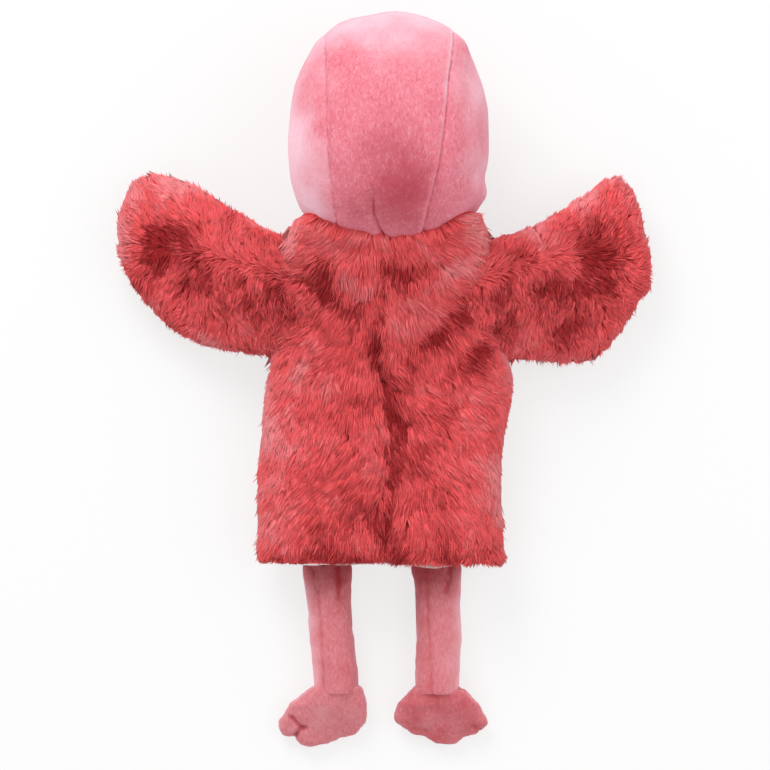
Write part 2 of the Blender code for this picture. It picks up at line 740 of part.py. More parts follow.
lining = lining_body("glove_lining", LINING_INSET, HEM_Y - LINING_HEM_DROP, LINING_TOP_Y)
room_inset = LINING_INSET + LINING_THICKNESS
hand_room = helper(
    lining_body("hand_room", room_inset, HEM_Y - CUTTER_OVERRUN, LINING_TOP_Y - LINING_THICKNESS)
)
for side in SIDES:
    for name, inset, item in (("sleeve", LINING_INSET, lining), ("sleeve_room", room_inset, hand_room)):
        sleeve = wing_body(f"{name}_{side}", side, inset, pale_lining, WING_POCKET_REACH, 4, 4)
        combine(item, helper(sleeve), "UNION", "MANIFOLD")
combine(lining, hand_room, "DIFFERENCE", "MANIFOLD")
combine(lining, finger_bore, "DIFFERENCE", "MANIFOLD")

# Legs and feet
LEG_SHARES = (0, LEG_FLAT_SHARE / 2, LEG_FLAT_SHARE, 0.5, 0.75, 1)
for side in SIDES:
    walls = [[leg_ring(side, share, inset) for share in LEG_SHARES] for inset in (0.0, PLUSH_THICKNESS)]
    shell(f"leg_{side}", *walls, pink_plush, closed=True)
    rings = [leg_ring(side, share, STUFFING_INSET, 10) for share in LEG_SHARES]
    solid(f"leg_filling_{side}", rings, stuffing)
    foot_panel(f"foot_sole_{side}", side, 1, pink_plush)
    foot_panel(f"foot_upper_{side}", side, -1, pink_plush)
    foot_body(f"foot_filling_{side}", side, STUFFING_INSET, stuffing)

# Beak: its cover and tip cover are open to the head's stuffing through a mouth
split = SEAM_GAP / 2
cover = beak_body("beak_cover", 0.0, BEAK_ROOT_Y, BEAK_SPLIT_Y + split, pink_plush)
tip_cover = beak_body("beak_tip_cover", 0.0, BEAK_SPLIT_Y - split, BEAK_TIP_Y, black_plush, steps=5)


def beak_inside(name, inset, steps):
    return beak_body(name, inset, BEAK_ROOT_Y - inset, BEAK_TIP_Y + inset, stuffing, steps)


beak_room = helper(beak_inside("beak_room", PLUSH_THICKNESS, 9))
mouth_y = (BEAK_ROOT_Y + HEAD_Y) / 2 - BEAK_MOUTH_RADIUS
mouth_foot = (HEAD_X, mouth_y, BEAK_THICKNESS / 2)
mouth_top = (HEAD_X, mouth_y, HEAD_Z)
mouth = helper(tube("beak_mouth", BEAK_MOUTH_RADIUS, mouth_foot, mouth_top, 12, stuffing))
beak_filling = beak_inside("beak_filling", STUFFING_INSET, 7)
for item in (cover, tip_cover):
    combine(item, head_room, "DIFFERENCE")
    combine(item, beak_room, "DIFFERENCE")
combine(cover, mouth, "DIFFERENCE")
combine(beak_filling, head_room, "DIFFERENCE")
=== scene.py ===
"""Looks of a plush flamingo hand puppet that lies on its front, seen from straight above.

Metres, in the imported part's frame: the head points to +Y, the wings to -X and +X, the feet to -Y.
"""

import bpy
import numpy as np
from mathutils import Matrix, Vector, kdtree, noise
from mathutils.bvhtree import BVHTree


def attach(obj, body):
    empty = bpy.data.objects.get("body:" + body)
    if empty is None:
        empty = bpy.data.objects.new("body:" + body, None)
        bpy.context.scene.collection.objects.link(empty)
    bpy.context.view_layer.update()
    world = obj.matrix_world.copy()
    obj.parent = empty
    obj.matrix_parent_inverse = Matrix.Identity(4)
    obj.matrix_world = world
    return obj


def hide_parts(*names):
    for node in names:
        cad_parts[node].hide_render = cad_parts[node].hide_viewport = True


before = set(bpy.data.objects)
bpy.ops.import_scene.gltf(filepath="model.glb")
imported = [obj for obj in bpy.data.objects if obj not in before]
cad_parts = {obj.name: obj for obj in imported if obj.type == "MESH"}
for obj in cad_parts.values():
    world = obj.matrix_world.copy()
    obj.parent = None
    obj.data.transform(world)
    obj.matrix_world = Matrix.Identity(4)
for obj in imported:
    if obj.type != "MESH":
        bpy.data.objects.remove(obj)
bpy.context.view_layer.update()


# The head
# Four panels of short-pile plush, a gusset over the crown, two sides and a chin, sewn inside out,
# turned and stuffed hard with fibre, so that the cloth swells between its seams.

HEAD_PANELS = ("head_gusset", "head_chin", "head_side_left", "head_side_right")
HEAD_VOXEL = 0.0030
# The cloth simulation: how hard the stuffing presses, for how many frames, and the most it may move
HEAD_PRESSURE = 1.5
HEAD_SWELL_MOST = 0.0015
SWELL_FRAMES = 20
# The mesh is divided again this near to a seam or the dart, above this height
HEAD_FINE_BANDS = (0.0032, 0.0018)
HEAD_FINE_Z = 0.045
# The seams: their grooves' depth and width, how much of them the left side has, the height of the
# ridge that the gusset's edge makes on the right, and the step and strength of the puckers
HEAD_SEAM_DEPTH = 0.0007
HEAD_SEAM_WIDTH = 0.0009
HEAD_LEFT_SEAM = 0.8
HEAD_RIDGE = 0.0006
HEAD_PUCKER_STEP = 0.005
HEAD_PUCKER = 0.55
# The small dart that takes in the nape, from its tip down to the collar, its depth, its width, and
# how high the cloth stands beside it
NAPE_DART = ((-0.0055, 0.0912), (-0.0055, 0.0818), (-0.0030, 0.0752), (-0.0007, 0.0712))
DART_DEPTH = 0.0012
DART_WIDTH = 0.0007
DART_BULGE = 0.0008
# Soft dents and bulges of the stuffing: place, reach and height
HEAD_LUMPS = (
    (0.0480, 0.1000, 0.0060, -0.0019), (0.0490, 0.0925, 0.0055, 0.0019), (0.0360, 0.1690, 0.0110, 0.0018),
    (-0.0080, 0.1840, 0.0080, -0.0008),
)
# Painted light and shade on the head: place, reach, and from -1 for deep to 1 for pale
HEAD_LIGHT_AND_SHADE = (
    (0.0100, 0.1900, 0.0380, 0.62), (-0.0200, 0.1750, 0.0220, 0.35), (-0.0480, 0.1200, 0.0160, 0.55),
    (-0.0400, 0.0850, 0.0100, 0.60), (0.0460, 0.1400, 0.0140, 0.35), (0.0080, 0.0810, 0.0180, -0.55),
    (0.0110, 0.0990, 0.0180, -0.40), (0.0020, 0.1120, 0.0220, -0.32), (0.0430, 0.1050, 0.0130, 0.32),
    (-0.0150, 0.1600, 0.0090, -0.20), (0.0400, 0.1640, 0.0050, -0.55), (-0.0240, 0.1560, 0.0060, -0.35),
    (-0.0320, 0.1230, 0.0050, -0.30), (-0.0180, 0.0850, 0.0120, -0.25),
)
# The plush, in painted shade and dark grain, in painted light and pale grain, and its sheen
PLUSH_PINK = (0.810, 0.212, 0.276)
PLUSH_DEEP = (0.500, 0.064, 0.092)
PLUSH_PALE = (1.000, 0.640, 0.740)
PLUSH_SHEEN = (1, 0.62, 0.72)


class Value:
    """A socket of a finish's nodes, on which Python's own operators do sums."""

    def __init__(self, finish, socket):
        self.finish = finish
        self.socket = socket

    def sum(self, operation, first, second):
        return self.finish.node("ShaderNodeMath", {"operation": operation}, {0: first, 1: second})

    def __add__(self, other):
        return self.sum("ADD", self, other)

    def __radd__(self, other):
        return self.sum("ADD", other, self)

    def __sub__(self, other):
        return self.sum("SUBTRACT", self, other)

    def __rsub__(self, other):
        return self.sum("SUBTRACT", other, self)

    def __mul__(self, other):
        return self.sum("MULTIPLY", self, other)

    def __rmul__(self, other):
        return self.sum("MULTIPLY", other, self)


class Finish:
    """A material, and one method that adds any node to it."""

    def __init__(self, name, **constants):
        self.material = bpy.data.materials.new(name)
        self.material.use_nodes = True
        self.tree = self.material.node_tree
        self.shader = self.tree.nodes["Principled BSDF"]
        for socket, value in constants.items():
            self.shader.inputs[socket.replace("_", " ")].default_value = value

    def link(self, value, socket):
        if isinstance(value, Value):
            self.tree.links.new(value.socket, socket)
        else:
            socket.default_value = value

    def node(self, kind, settings=None, sockets=None, output=0):
        """Adds a node with its settings, fills its sockets, and gives back one of its outputs."""
        made = self.tree.nodes.new(kind)
        for name, value in (settings or {}).items():
            setattr(made, name, value)
        for name, value in (sockets or {}).items():
            self.link(value, made.inputs[name])
        return Value(self, made.outputs[output])

    def place(self, scale=(1, 1, 1)):
        """Object coordinates, stretched."""
        spot = self.node("ShaderNodeTexCoord", output="Object")
        return self.node("ShaderNodeMapping", None, {"Vector": spot, "Scale": scale})

    def noise(self, place, scale, detail=2.0, roughness=0.5):
        sockets = {"Vector": place, "Scale": scale, "Detail": detail, "Roughness": roughness}
        return self.node("ShaderNodeTexNoise", None, sockets, "Fac")

    def between(self, value, low, high):
        """A value's share of the way from low to high, from 0 to 1."""
        sockets = {"Value": value, "From Min": low, "From Max": high}
        return self.node("ShaderNodeMapRange", {"interpolation_type": "SMOOTHSTEP"}, sockets)

    def mix(self, share, first, second):
        """The second colour laid over the first by a share from 0 to 1."""
        sockets = {0: share, 6: opaque(first), 7: opaque(second)}
        return self.node("ShaderNodeMix", {"data_type": "RGBA"}, sockets, 2)

    def painted(self, attribute):
        """A number that the mesh carries at each point."""
        return self.node("ShaderNodeAttribute", {"attribute_name": attribute}, None, "Fac")

    def bump(self, height, distance, strength=1.0):
        sockets = {"Height": height, "Distance": distance, "Strength": strength}
        return self.node("ShaderNodeBump", None, sockets)

    def shade(self, **links):
        """Fills the shader's own sockets, and gives back the finished material."""
        for socket, value in links.items():
            self.link(value, self.shader.inputs[socket.replace("_", " ")])
        return self.material


def opaque(colour):
    """A plain colour with its alpha, and a node's colour as it is."""
    return colour if isinstance(colour, Value) else (*colour, 1)


def short_pile(name, main, deep, pale, sheen):
    """Short soft plush: a fine streaky pile, faint patches, and painted light and shade that make it pale or
    deep.
    """
    plush = Finish(
        name, Specular_IOR_Level=0.2, Sheen_Weight=0.5, Sheen_Roughness=0.4, Sheen_Tint=(*sheen, 1),
    )
    patches = plush.noise(plush.place((1, 0.8, 1)), 80, 4, 0.6)
    fine = plush.noise(plush.place((1, 0.35, 1)), 1500, 2, 0.6)
    coarse = plush.noise(plush.place((1, 0.45, 1)), 620, 3, 0.7)
    grain = fine * 0.5 + coarse * 0.5
    painted_light_and_patches = plush.painted("nap") + (patches - 0.5) * 0.6
    calm = 1 - plush.between(painted_light_and_patches, 0, 1) * 0.7
    lively = plush.between(painted_light_and_patches, -1.3, 0)
    # The mesh's painted light and shade, with faint patches, makes the plush pale or deep
    base = plush.mix(plush.between(painted_light_and_patches, 0, 1.3), main, pale)
    base = plush.mix(plush.between(painted_light_and_patches, 0.1, -1), base, deep)
    base = plush.mix(plush.between(grain, 0.50, 0.64) * calm * lively * 0.26, base, pale)
    base = plush.mix(plush.between(grain, 0.50, 0.36) * calm * 0.36, base, deep)
    # Painted shade in the seams, the dart and the creases
    base = plush.mix(plush.painted("seam") * 0.65, base, deep)
    height = fine + coarse
    return plush.shade(
        Base_Color=base,
        Roughness=0.9 - patches * 0.1,
        Normal=plush.bump(height, 0.0006, 0.6),
    )


def only(piece):
    """Selects one object and nothing else."""
    bpy.ops.object.select_all(action="DESELECT")
    piece.select_set(True)
    bpy.context.view_layer.objects.active = piece


def copy_of(nodes, name):
    """The CAD nodes' meshes as one new object, with their loose triangles merged."""
    copies = []
    for node in nodes:
        copies.append(bpy.data.objects.new(name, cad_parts[node].data.copy()))
        bpy.context.scene.collection.objects.link(copies[-1])
    only(copies[0])
    for copy in copies:
        copy.select_set(True)
    if len(copies) > 1:
        bpy.ops.object.join()
    made = bpy.context.view_layer.objects.active
    made.name = name
    made.data.materials.clear()
    bpy.ops.object.mode_set(mode="EDIT")
    bpy.ops.mesh.select_all(action="SELECT")
    bpy.ops.mesh.remove_doubles(threshold=0.00002)
    bpy.ops.object.mode_set(mode="OBJECT")
    return made


def apply_modifier(piece, kind, **settings):
    """Adds one modifier with its settings, and makes its result the piece's own mesh."""
    only(piece)
    modifier = piece.modifiers.new(kind.lower(), kind)
    for name, value in settings.items():
        setattr(modifier, name, value)
    bpy.ops.object.modifier_apply(modifier=modifier.name)


def subdivide(piece, levels):
    apply_modifier(piece, "SUBSURF", levels=levels, render_levels=levels)


def points_of(piece):
    points = np.empty(len(piece.data.vertices) * 3, np.float32)
    piece.data.vertices.foreach_get("co", points)
    return points.reshape(-1, 3).astype(float)


def normals_of(piece):
    normals = np.empty(len(piece.data.vertices) * 3, np.float32)
    piece.data.vertices.foreach_get("normal", normals)
    return normals.reshape(-1, 3).astype(float)


def set_points(piece, points):
    piece.data.vertices.foreach_set("co", points.astype(np.float32).ravel())
    piece.data.update()


def swell(piece, pressure, cap):
    """Lets the stuffing push the cloth out in a short cloth simulation, no point past the cap."""
    start = points_of(piece)
    cloth = piece.modifiers.new("cloth", "CLOTH")
    cloth.settings.use_pressure = True
    cloth.settings.uniform_pressure_force = pressure
    cloth.settings.effector_weights.gravity = 0
    cloth.point_cache.frame_start = 1
    cloth.point_cache.frame_end = SWELL_FRAMES
    for now in range(1, SWELL_FRAMES + 1):
        bpy.context.scene.frame_set(now)
    seen = piece.evaluated_get(bpy.context.evaluated_depsgraph_get())
    end = points_of(seen)
    piece.modifiers.remove(cloth)
    bpy.context.scene.frame_set(1)
    move = end - start
    length = np.linalg.norm(move, axis=1, keepdims=True)
    set_points(piece, start + move * np.minimum(1, cap / np.maximum(length, 1e-9)))


def stuffed(name, nodes, voxel):
    """A stuffed form: the hull round its CAD panels, remeshed evenly."""
    form = copy_of(nodes, name)
    bpy.ops.object.mode_set(mode="EDIT")
    bpy.ops.mesh.select_all(action="SELECT")
    bpy.ops.mesh.convex_hull()
    bpy.ops.object.mode_set(mode="OBJECT")
    apply_modifier(form, "REMESH", mode="VOXEL", voxel_size=voxel)
    apply_modifier(form, "SMOOTH", factor=0.5, iterations=4)
    return form


def tree_of(nodes):
    """The CAD nodes' surfaces, for measuring distances."""
    corners, faces = [], []
    for node in nodes:
        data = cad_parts[node].data
        first = len(corners)
        corners.extend(vertex.co.copy() for vertex in data.vertices)
        faces.extend([first + corner for corner in face.vertices] for face in data.polygons)
    return BVHTree.FromPolygons(corners, faces)


def distances(points, tree):
    """How far each point is from a tree's surfaces."""
    return np.array([tree.find_nearest(Vector(point))[3] for point in points])


def path_distances(points, path):
    """Distance in X and Y from each point to a path of straight runs."""
    least = np.full(len(points), np.inf)
    for start, end in zip(path, path[1:]):
        run = np.subtract(end, start)
        share = np.clip((points[:, :2] - start) @ run / (run @ run), 0, 1)
        off = points[:, :2] - start - share[:, None] * run
        least = np.minimum(least, np.linalg.norm(off, axis=1))
    return least


def paint(piece, **values):
    """Gives each point of the mesh a number for the material to read."""
    for name, numbers in values.items():
        layer = piece.data.attributes.new(name, "FLOAT", "POINT")
        layer.data.foreach_set("value", np.asarray(numbers, np.float32))


def spots(points, places):
    """The sum of soft round spots, each a place, a reach and a strength."""
    total = np.zeros(len(points))
    for x, y, reach, strength in places:
        total += strength * groove(np.hypot(points[:, 0] - x, points[:, 1] - y), reach)
    return total


def waves(points, step, seed=0.0):
    """Smooth noise about 0, one swell to a step."""
    return np.array([noise.noise(Vector(point) / step + Vector((seed, 0, 0))) for point in points])


def groove(distance, width):
    """1 on a line, falling softly to 0 away from it."""
    return np.exp(-((distance / width) ** 2))


def smooth(piece):
    only(piece)
    bpy.ops.object.shade_smooth()


def dress(piece, material, slot, *nodes):
    """Gives a piece its material and its place on the frame, and hides the CAD nodes that it stands for."""
    piece.data.materials.clear()
    piece.data.materials.append(material)
    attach(piece, "root")
    if nodes:
        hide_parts(*nodes)


def refine(piece, near):
    """Divides the faces whose corners are all near something, once."""
    for face in piece.data.polygons:
        face.select = all(near[corner] for corner in face.vertices)
    bpy.ops.object.mode_set(mode="EDIT")
    bpy.ops.mesh.select_mode(type="FACE")
    bpy.ops.mesh.subdivide(number_cuts=1)
    bpy.ops.object.mode_set(mode="OBJECT")


pink_plush = short_pile("pink_plush", PLUSH_PINK, PLUSH_DEEP, PLUSH_PALE, PLUSH_SHEEN)
head = stuffed("head_plush", HEAD_PANELS, HEAD_VOXEL)
swell(head, HEAD_PRESSURE, HEAD_SWELL_MOST)
subdivide(head, 1)
middle_tree, side_tree = tree_of(HEAD_PANELS[:2]), tree_of(HEAD_PANELS[2:])
for band in HEAD_FINE_BANDS:
    points = points_of(head)
    seam_gap = np.maximum(distances(points, middle_tree), distances(points, side_tree))
    near_dart = path_distances(points, NAPE_DART) < band
    refine(head, (points[:, 2] > HEAD_FINE_Z) & ((seam_gap < band) | near_dart))
points, outward = points_of(head), normals_of(head)
middle_gap = distances(points, middle_tree)
side_gap = distances(points, side_tree)
seam_gap = np.maximum(middle_gap, side_gap)
puckers = 1 + HEAD_PUCKER * waves(points, HEAD_PUCKER_STEP)
on_right = points[:, 0] > 0
seam_share = np.where(on_right, 1.0, HEAD_LEFT_SEAM)
facing_up = np.clip(outward[:, 2] / 0.45, 0, 1)
lift = -HEAD_SEAM_DEPTH * groove(seam_gap, HEAD_SEAM_WIDTH) * puckers * facing_up * seam_share
lift += HEAD_RIDGE * groove(side_gap - 0.0022, 0.0014) * (on_right & (middle_gap < 0.001)) * facing_up
lift += 0.0005 * groove(seam_gap - 0.0065, 0.004)
# The dart is only on the back, and runs out at its tip
on_back = np.clip((points[:, 2] - 0.030) / 0.010, 0, 1)
below_tip = np.clip((0.0925 - points[:, 1]) / 0.007, 0, 1)
dart_gap = path_distances(points, NAPE_DART)
dart = groove(dart_gap, DART_WIDTH) * on_back * below_tip
lift -= DART_DEPTH * dart
lift += DART_BULGE * groove(dart_gap - 0.004, 0.003) * on_back
lift += spots(points, HEAD_LUMPS)
lift += 0.0007 * waves(points, 0.022, 5.0)
lift += 0.0005 * waves(points, 0.006, 9.0) * groove(seam_gap, 0.006)
set_points(head, points + outward * lift[:, None])
# Painted shade along the seams, broken up along their length, and in the dart, and a painted highlight beside
# the gusset's ridge on the right
seam_shade_breaks = np.clip(0.6 + 1.6 * waves(points, 0.0028, 4.0), 0.15, 1)
seam_mark = groove(seam_gap, 0.0006) * seam_share * seam_shade_breaks * facing_up
ridge_highlight = groove(side_gap - 0.0015, 0.0008) * (on_right & (middle_gap < 0.001))
# Painted light: the left side is painted paler than the gusset, and everywhere the head is painted paler
# towards the edges, as a painted sheen
left_side = (side_gap < middle_gap) & ~on_right
high = np.clip((points[:, 2] - 0.035) / 0.030, 0, 1)
nap = spots(points, HEAD_LIGHT_AND_SHADE) * high + 0.15 * waves(points, 0.012, 2.0) + 0.5 * ridge_highlight
nap += left_side * (0.08 + 0.30 * np.clip((0.140 - points[:, 1]) / 0.03, 0, 1) * high)
nap += 0.45 * np.clip(1 - outward[:, 2], 0, 1) ** 1.2 * np.clip(high, 0.15, 1)
paint(head, nap=nap, seam=np.clip(seam_mark + 0.9 * dart, 0, 1))
smooth(head)
dress(head, pink_plush, "pink_plush", *HEAD_PANELS, "head_filling")


# The eyes
# Each is a domed button of glossy black plastic on a shank. The shank goes through the plush,
# and a white lock washer holds it from behind, hidden in the stuffing.

EYE_BLACK = (0.006, 0.005, 0.006)
EYE_SCUFF = (0.016, 0.014, 0.015)
WASHER_DULL = (0.68, 0.68, 0.66)
WASHER_WHITE = (0.76, 0.76, 0.74)

black_plastic = Finish("black_plastic", Roughness=0.12, Coat_Weight=0.6, Coat_Roughness=0.05)
scuff = black_plastic.noise(black_plastic.place(), 700, 3)
black_plastic.shade(
    Base_Color=black_plastic.mix(black_plastic.between(scuff, 0.4, 0.7), EYE_BLACK, EYE_SCUFF),
    Roughness=0.10 + scuff * 0.08,
)
white_plastic = Finish("white_plastic", Roughness=0.5)
mould = white_plastic.noise(white_plastic.place(), 300, 2)
white_plastic.shade(Base_Color=white_plastic.mix(mould, WASHER_DULL, WASHER_WHITE))

for side in ("left", "right"):
    eye = copy_of([f"eye_{side}"], f"eye_{side}_button")
    subdivide(eye, 1)
    smooth(eye)
    dress(eye, black_plastic.material, "black_plastic", f"eye_{side}")
    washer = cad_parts[f"eye_washer_{side}"]
    washer.data.materials.clear()
    washer.data.materials.append(white_plastic.material)


# The beak
# A bent sack of the head's plush with a black plush tip, stuffed lightly and sewn to the face.
# It lies folded under the chin.

TIP_BLACK = (0.022, 0.020, 0.022)
TIP_DEEP = (0.010, 0.009, 0.010)
TIP_PALE = (0.050, 0.046, 0.050)
TIP_SHEEN = (0.9, 0.85, 0.9)
# How many rounds of smoothing take the solids' edges off, and how uneven the stuffing is
BEAK_SMOOTHING = 14
BEAK_LUMPS = 0.0004
# The least height of what lies on the floor
FLOOR_GAP = 0.0003


def pair_triangles(piece, limit):
    """Makes quads of a CAD copy's triangles, so that it subdivides evenly."""
    only(piece)
    bpy.ops.object.mode_set(mode="EDIT")
    bpy.ops.mesh.select_all(action="SELECT")
    bpy.ops.mesh.tris_convert_to_quads(face_threshold=0.7, shape_threshold=limit)
    bpy.ops.object.mode_set(mode="OBJECT")


black_plush = short_pile("black_plush", TIP_BLACK, TIP_DEEP, TIP_PALE, TIP_SHEEN)
for name, node, material, slot in (
    ("beak_plush", "beak_cover", pink_plush, "pink_plush"),
    ("beak_tip_plush", "beak_tip_cover", black_plush, "black_plush"),
):
    beak = copy_of([node], name)
    pair_triangles(beak, 0.7)
    subdivide(beak, 2)
    apply_modifier(beak, "SMOOTH", factor=0.5, iterations=BEAK_SMOOTHING)
    points = points_of(beak)
    points += normals_of(beak) * (BEAK_LUMPS * waves(points, 0.006))[:, None]
    points[:, 2] = np.maximum(points[:, 2], FLOOR_GAP)
    set_points(beak, points)
    smooth(beak)
    dress(beak, material, slot, node)
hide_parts("beak_filling")


# The glove lining
# Thin woven cotton, cut like the body and wings but a little smaller, sewn to the fur at the hem,
# where a pale edge of it shows. A pocket for a finger goes up into the head.

# The size that the lining and its pocket are cut to, width and length, and the cut's area
LINING_FLAT = (0.255, 0.235)
LINING_AREA = 0.0489
POCKET_FLAT = (0.068, 0.095)
POCKET_AREA = 0.0062
# The hem's oval: its middle's height, half its width and half its height
HEM_OVAL = (0.0205, 0.0570, 0.0140)
# How far the hem spreads all round, how much further underneath, and from where it does
HEM_SPREAD = 0.0014
HEM_SPREAD_UNDER = 0.0018
HEM_SPREAD_Y = -0.0880
# Where the lining's edge rolls out below the hem: the middle, the reach and how far
HEM_SHOWS = ((-0.0212, 0.0075, 0.0016), (0.0240, 0.0110, 0.0024))
HEM_ROLL_Y = -0.0905
# The mesh is divided again below here
HEM_FINE_Y = -0.0890
COTTON_DEEP = (0.88, 0.43, 0.42)
COTTON_PALE = (0.97, 0.58, 0.56)

cotton = Finish("pale_cotton", Sheen_Weight=0.15, Sheen_Roughness=0.5)
warp, weft = (
    cotton.node(
        "ShaderNodeTexWave", {"wave_type": "BANDS", "bands_direction": way},
        {"Vector": cotton.place(), "Scale": 330, "Distortion": 0.6}, "Fac",
    )
    for way in ("X", "Y")
)
wash = cotton.noise(cotton.place(), 60, 3)
pale_cotton = cotton.shade(
    Base_Color=cotton.mix(cotton.between(wash, 0.3, 0.7), COTTON_DEEP, COTTON_PALE),
    Roughness=0.85 + warp * 0.05,
    Normal=cotton.bump(warp * weft, 0.0002, 0.6),
)
for node, name, flat, area in (
    ("glove_lining", "lining_cloth", LINING_FLAT, LINING_AREA),
    ("head_finger_pocket", "finger_pocket_cloth", POCKET_FLAT, POCKET_AREA),
):
    cloth = copy_of([node], name)
    pair_triangles(cloth, 0.7)
    subdivide(cloth, 1)
    refine(cloth, points_of(cloth)[:, 1] < HEM_FINE_Y)
    points = points_of(cloth)
    in_spread = np.clip((HEM_SPREAD_Y - points[:, 1]) / 0.0035, 0, 1)
    in_roll = np.clip((HEM_ROLL_Y - points[:, 1]) / 0.0015, 0, 1)
    # The hem spreads out to the fur that it is sewn to, furthest underneath
    height, half_width, half_height = HEM_OVAL
    sideways, upward = points[:, 0] / half_width**2, (points[:, 2] - height) / half_height**2
    out = np.column_stack((sideways, np.zeros(len(points)), upward))
    out /= np.linalg.norm(out, axis=1, keepdims=True)
    spread = (HEM_SPREAD + HEM_SPREAD_UNDER * np.clip(-out[:, 2], 0, 1)) * in_spread
    points += out * spread[:, None]
    for middle, reach, drop in HEM_SHOWS:
        points[:, 1] -= drop * groove(points[:, 0] - middle, reach) * in_roll
    set_points(cloth, points)
    smooth(cloth)
    dress(cloth, pale_cotton, "pale_lining", node)


# The body
# Two back panels and one front panel of long-pile fur cloth, sewn at the centre back and the
# sides. The cloth itself is thin: the pile stands and lies on it, and is combed down and outwards.

# How far the ground lies under the solids' surface, and the most that a hollow adds to that
PILE_DEPTH = 0.0030
DEPTH_MOST = 0.0009
CLOTH_THICKNESS = 0.0012
# A strand's length and width, and how it rises from the cloth below and above its bend, in degrees
PILE_LENGTH = 0.0115
STRAND_WIDTH = 0.00050
STRAND_RISES = (42, 8)
# Strands to a lock, and to a tuft of locks
LOCK_STRANDS = 14
TUFT_STRANDS = 150
# How many strands grow on each back panel and on the front one
BACK_STRANDS = 46000
FRONT_STRANDS = 18000
# How far a strand may stand out beyond the panels: the usual reach and the most
FRINGE = 0.0012
FRINGE_MOST = 0.0024
# How far the pile hangs past the hem, for strands that root below this Y
HEM_FALL = 0.0028
HEM_Y = -0.0820
# How much painted light makes the pile paler towards an edge
RIM_PAINTED_LIGHT = 0.50
# How much a strand is shaded like its cloth, and how much of straight up is added to that, because
# light reaches round an edge through the pile
SOFTNESS = 0.85
RIM_LIGHT = 0.45
# The body's middle line: rows of (Y, Z)
BODY_AXIS_Z = ((-0.090, 0.022), (0.000, 0.025), (0.040, 0.036), (0.066, 0.048), (0.085, 0.054))
# How the pile lies on the back: for a Y, pairs of X and heading, 0 towards the hem and 90 towards +X
BACK_COMB = {
    0.076: ((-0.040, -60), (-0.024, -30), (0.000, 0), (0.022, 25), (0.038, 62)),
    0.062: ((-0.044, -70), (-0.032, -45), (-0.016, -5), (0.000, 0), (0.012, 10), (0.026, 45), (0.042, 72)),
    0.050: ((-0.046, -65), (-0.034, -45), (-0.015, -5), (-0.004, 0), (0.006, 5), (0.018, 25), (0.032, 55)),
    0.038: ((-0.048, -70), (-0.034, -55), (-0.018, -35), (0.004, 8), (0.016, 28), (0.030, 45), (0.045, 50)),
    0.024: ((-0.050, -62), (-0.034, -48), (-0.015, -25), (0.004, 5), (0.018, 22), (0.034, 35), (0.048, 50)),
    0.008: ((-0.052, -45), (-0.034, -36), (-0.012, -18), (0.008, 12), (0.026, 28), (0.042, 48), (0.054, 58)),
    -0.010: ((-0.055, -35), (-0.034, -30), (-0.010, -12), (0.008, 25), (0.024, 50), (0.040, 62), (0.055, 55)),
    -0.030: ((-0.057, -35), (-0.034, -42), (-0.012, -28), (0.010, 22), (0.026, 32), (0.042, 36), (0.056, 30)),
    -0.055: ((-0.057, -30), (-0.034, -38), (-0.012, -20), (0.010, 12), (0.030, 20), (0.054, 20)),
    -0.084: ((-0.057, -18), (-0.034, -12), (-0.006, 10), (0.008, -10), (0.032, 8), (0.056, 14)),
}
# How far one stroke of the comb is felt
COMB_REACH = 0.0095
# Creases between the folds of the back: a path, its width, its depth, and how dark the painted shade in it is
BACK_CREASES = (
    (((-0.0020, 0.0620), (-0.0010, 0.0483), (-0.0035, 0.0348), (-0.0025, 0.0198)), 0.0018, 0.0018, 0.75),
    (((-0.0025, 0.0240), (-0.0010, 0.0048), (0.0015, -0.0093), (0.0045, -0.0228)), 0.0028, 0.0030, 1.00),
    (((0.0045, -0.0228), (0.0040, -0.0380), (0.0022, -0.0600), (0.0010, -0.0760)), 0.0032, 0.0018, 0.75),
    (((0.0455, 0.0490), (0.0290, 0.0335), (0.0215, 0.0235), (0.0105, 0.0150)), 0.0040, 0.0026, 1.00),
    (((-0.0275, 0.0630), (-0.0262, 0.0508), (-0.0225, 0.0425), (-0.0140, 0.0385)), 0.0024, 0.0022, 0.75),
    (((-0.0140, 0.0385), (-0.0070, 0.0445), (-0.0025, 0.0500)), 0.0020, 0.0016, 0.60),
    (((0.0010, 0.0600), (0.0100, 0.0575), (0.0230, 0.0610)), 0.0026, 0.0020, 0.70),
    (((-0.0510, 0.0700), (-0.0525, 0.0520), (-0.0545, 0.0350), (-0.0530, 0.0220)), 0.0026, 0.0018, 0.40),
    (((0.0520, 0.0560), (0.0530, 0.0400), (0.0560, 0.0250), (0.0600, 0.0130)), 0.0026, 0.0018, 0.50),
    (((0.0080, -0.0030), (0.0260, -0.0090), (0.0500, -0.0130)), 0.0022, 0.0012, 0.40),
    (((-0.0100, -0.0100), (-0.0280, -0.0140), (-0.0450, -0.0260)), 0.0050, 0.0010, 0.25),
)
# Hollows of the back: place, reach and depth
BACK_HOLLOWS = (
    (-0.0315, 0.0515, 0.0060, 0.0024), (-0.0160, 0.0350, 0.0055, 0.0020), (0.0135, 0.0575, 0.0040, 0.0018),
    (0.0385, 0.0145, 0.0065, 0.0024), (0.0300, 0.0380, 0.0045, 0.0016), (0.0075, -0.0205, 0.0040, 0.0014),
)
# Raised folds of the back: place, reach and height
BACK_FOLDS = (
    (0.0300, 0.0580, 0.0130, 0.0012), (0.0180, 0.0400, 0.0100, 0.0014), (0.0115, 0.0285, 0.0070, 0.0012),
    (-0.0200, 0.0555, 0.0080, 0.0012), (-0.0420, 0.0640, 0.0090, 0.0008),
)
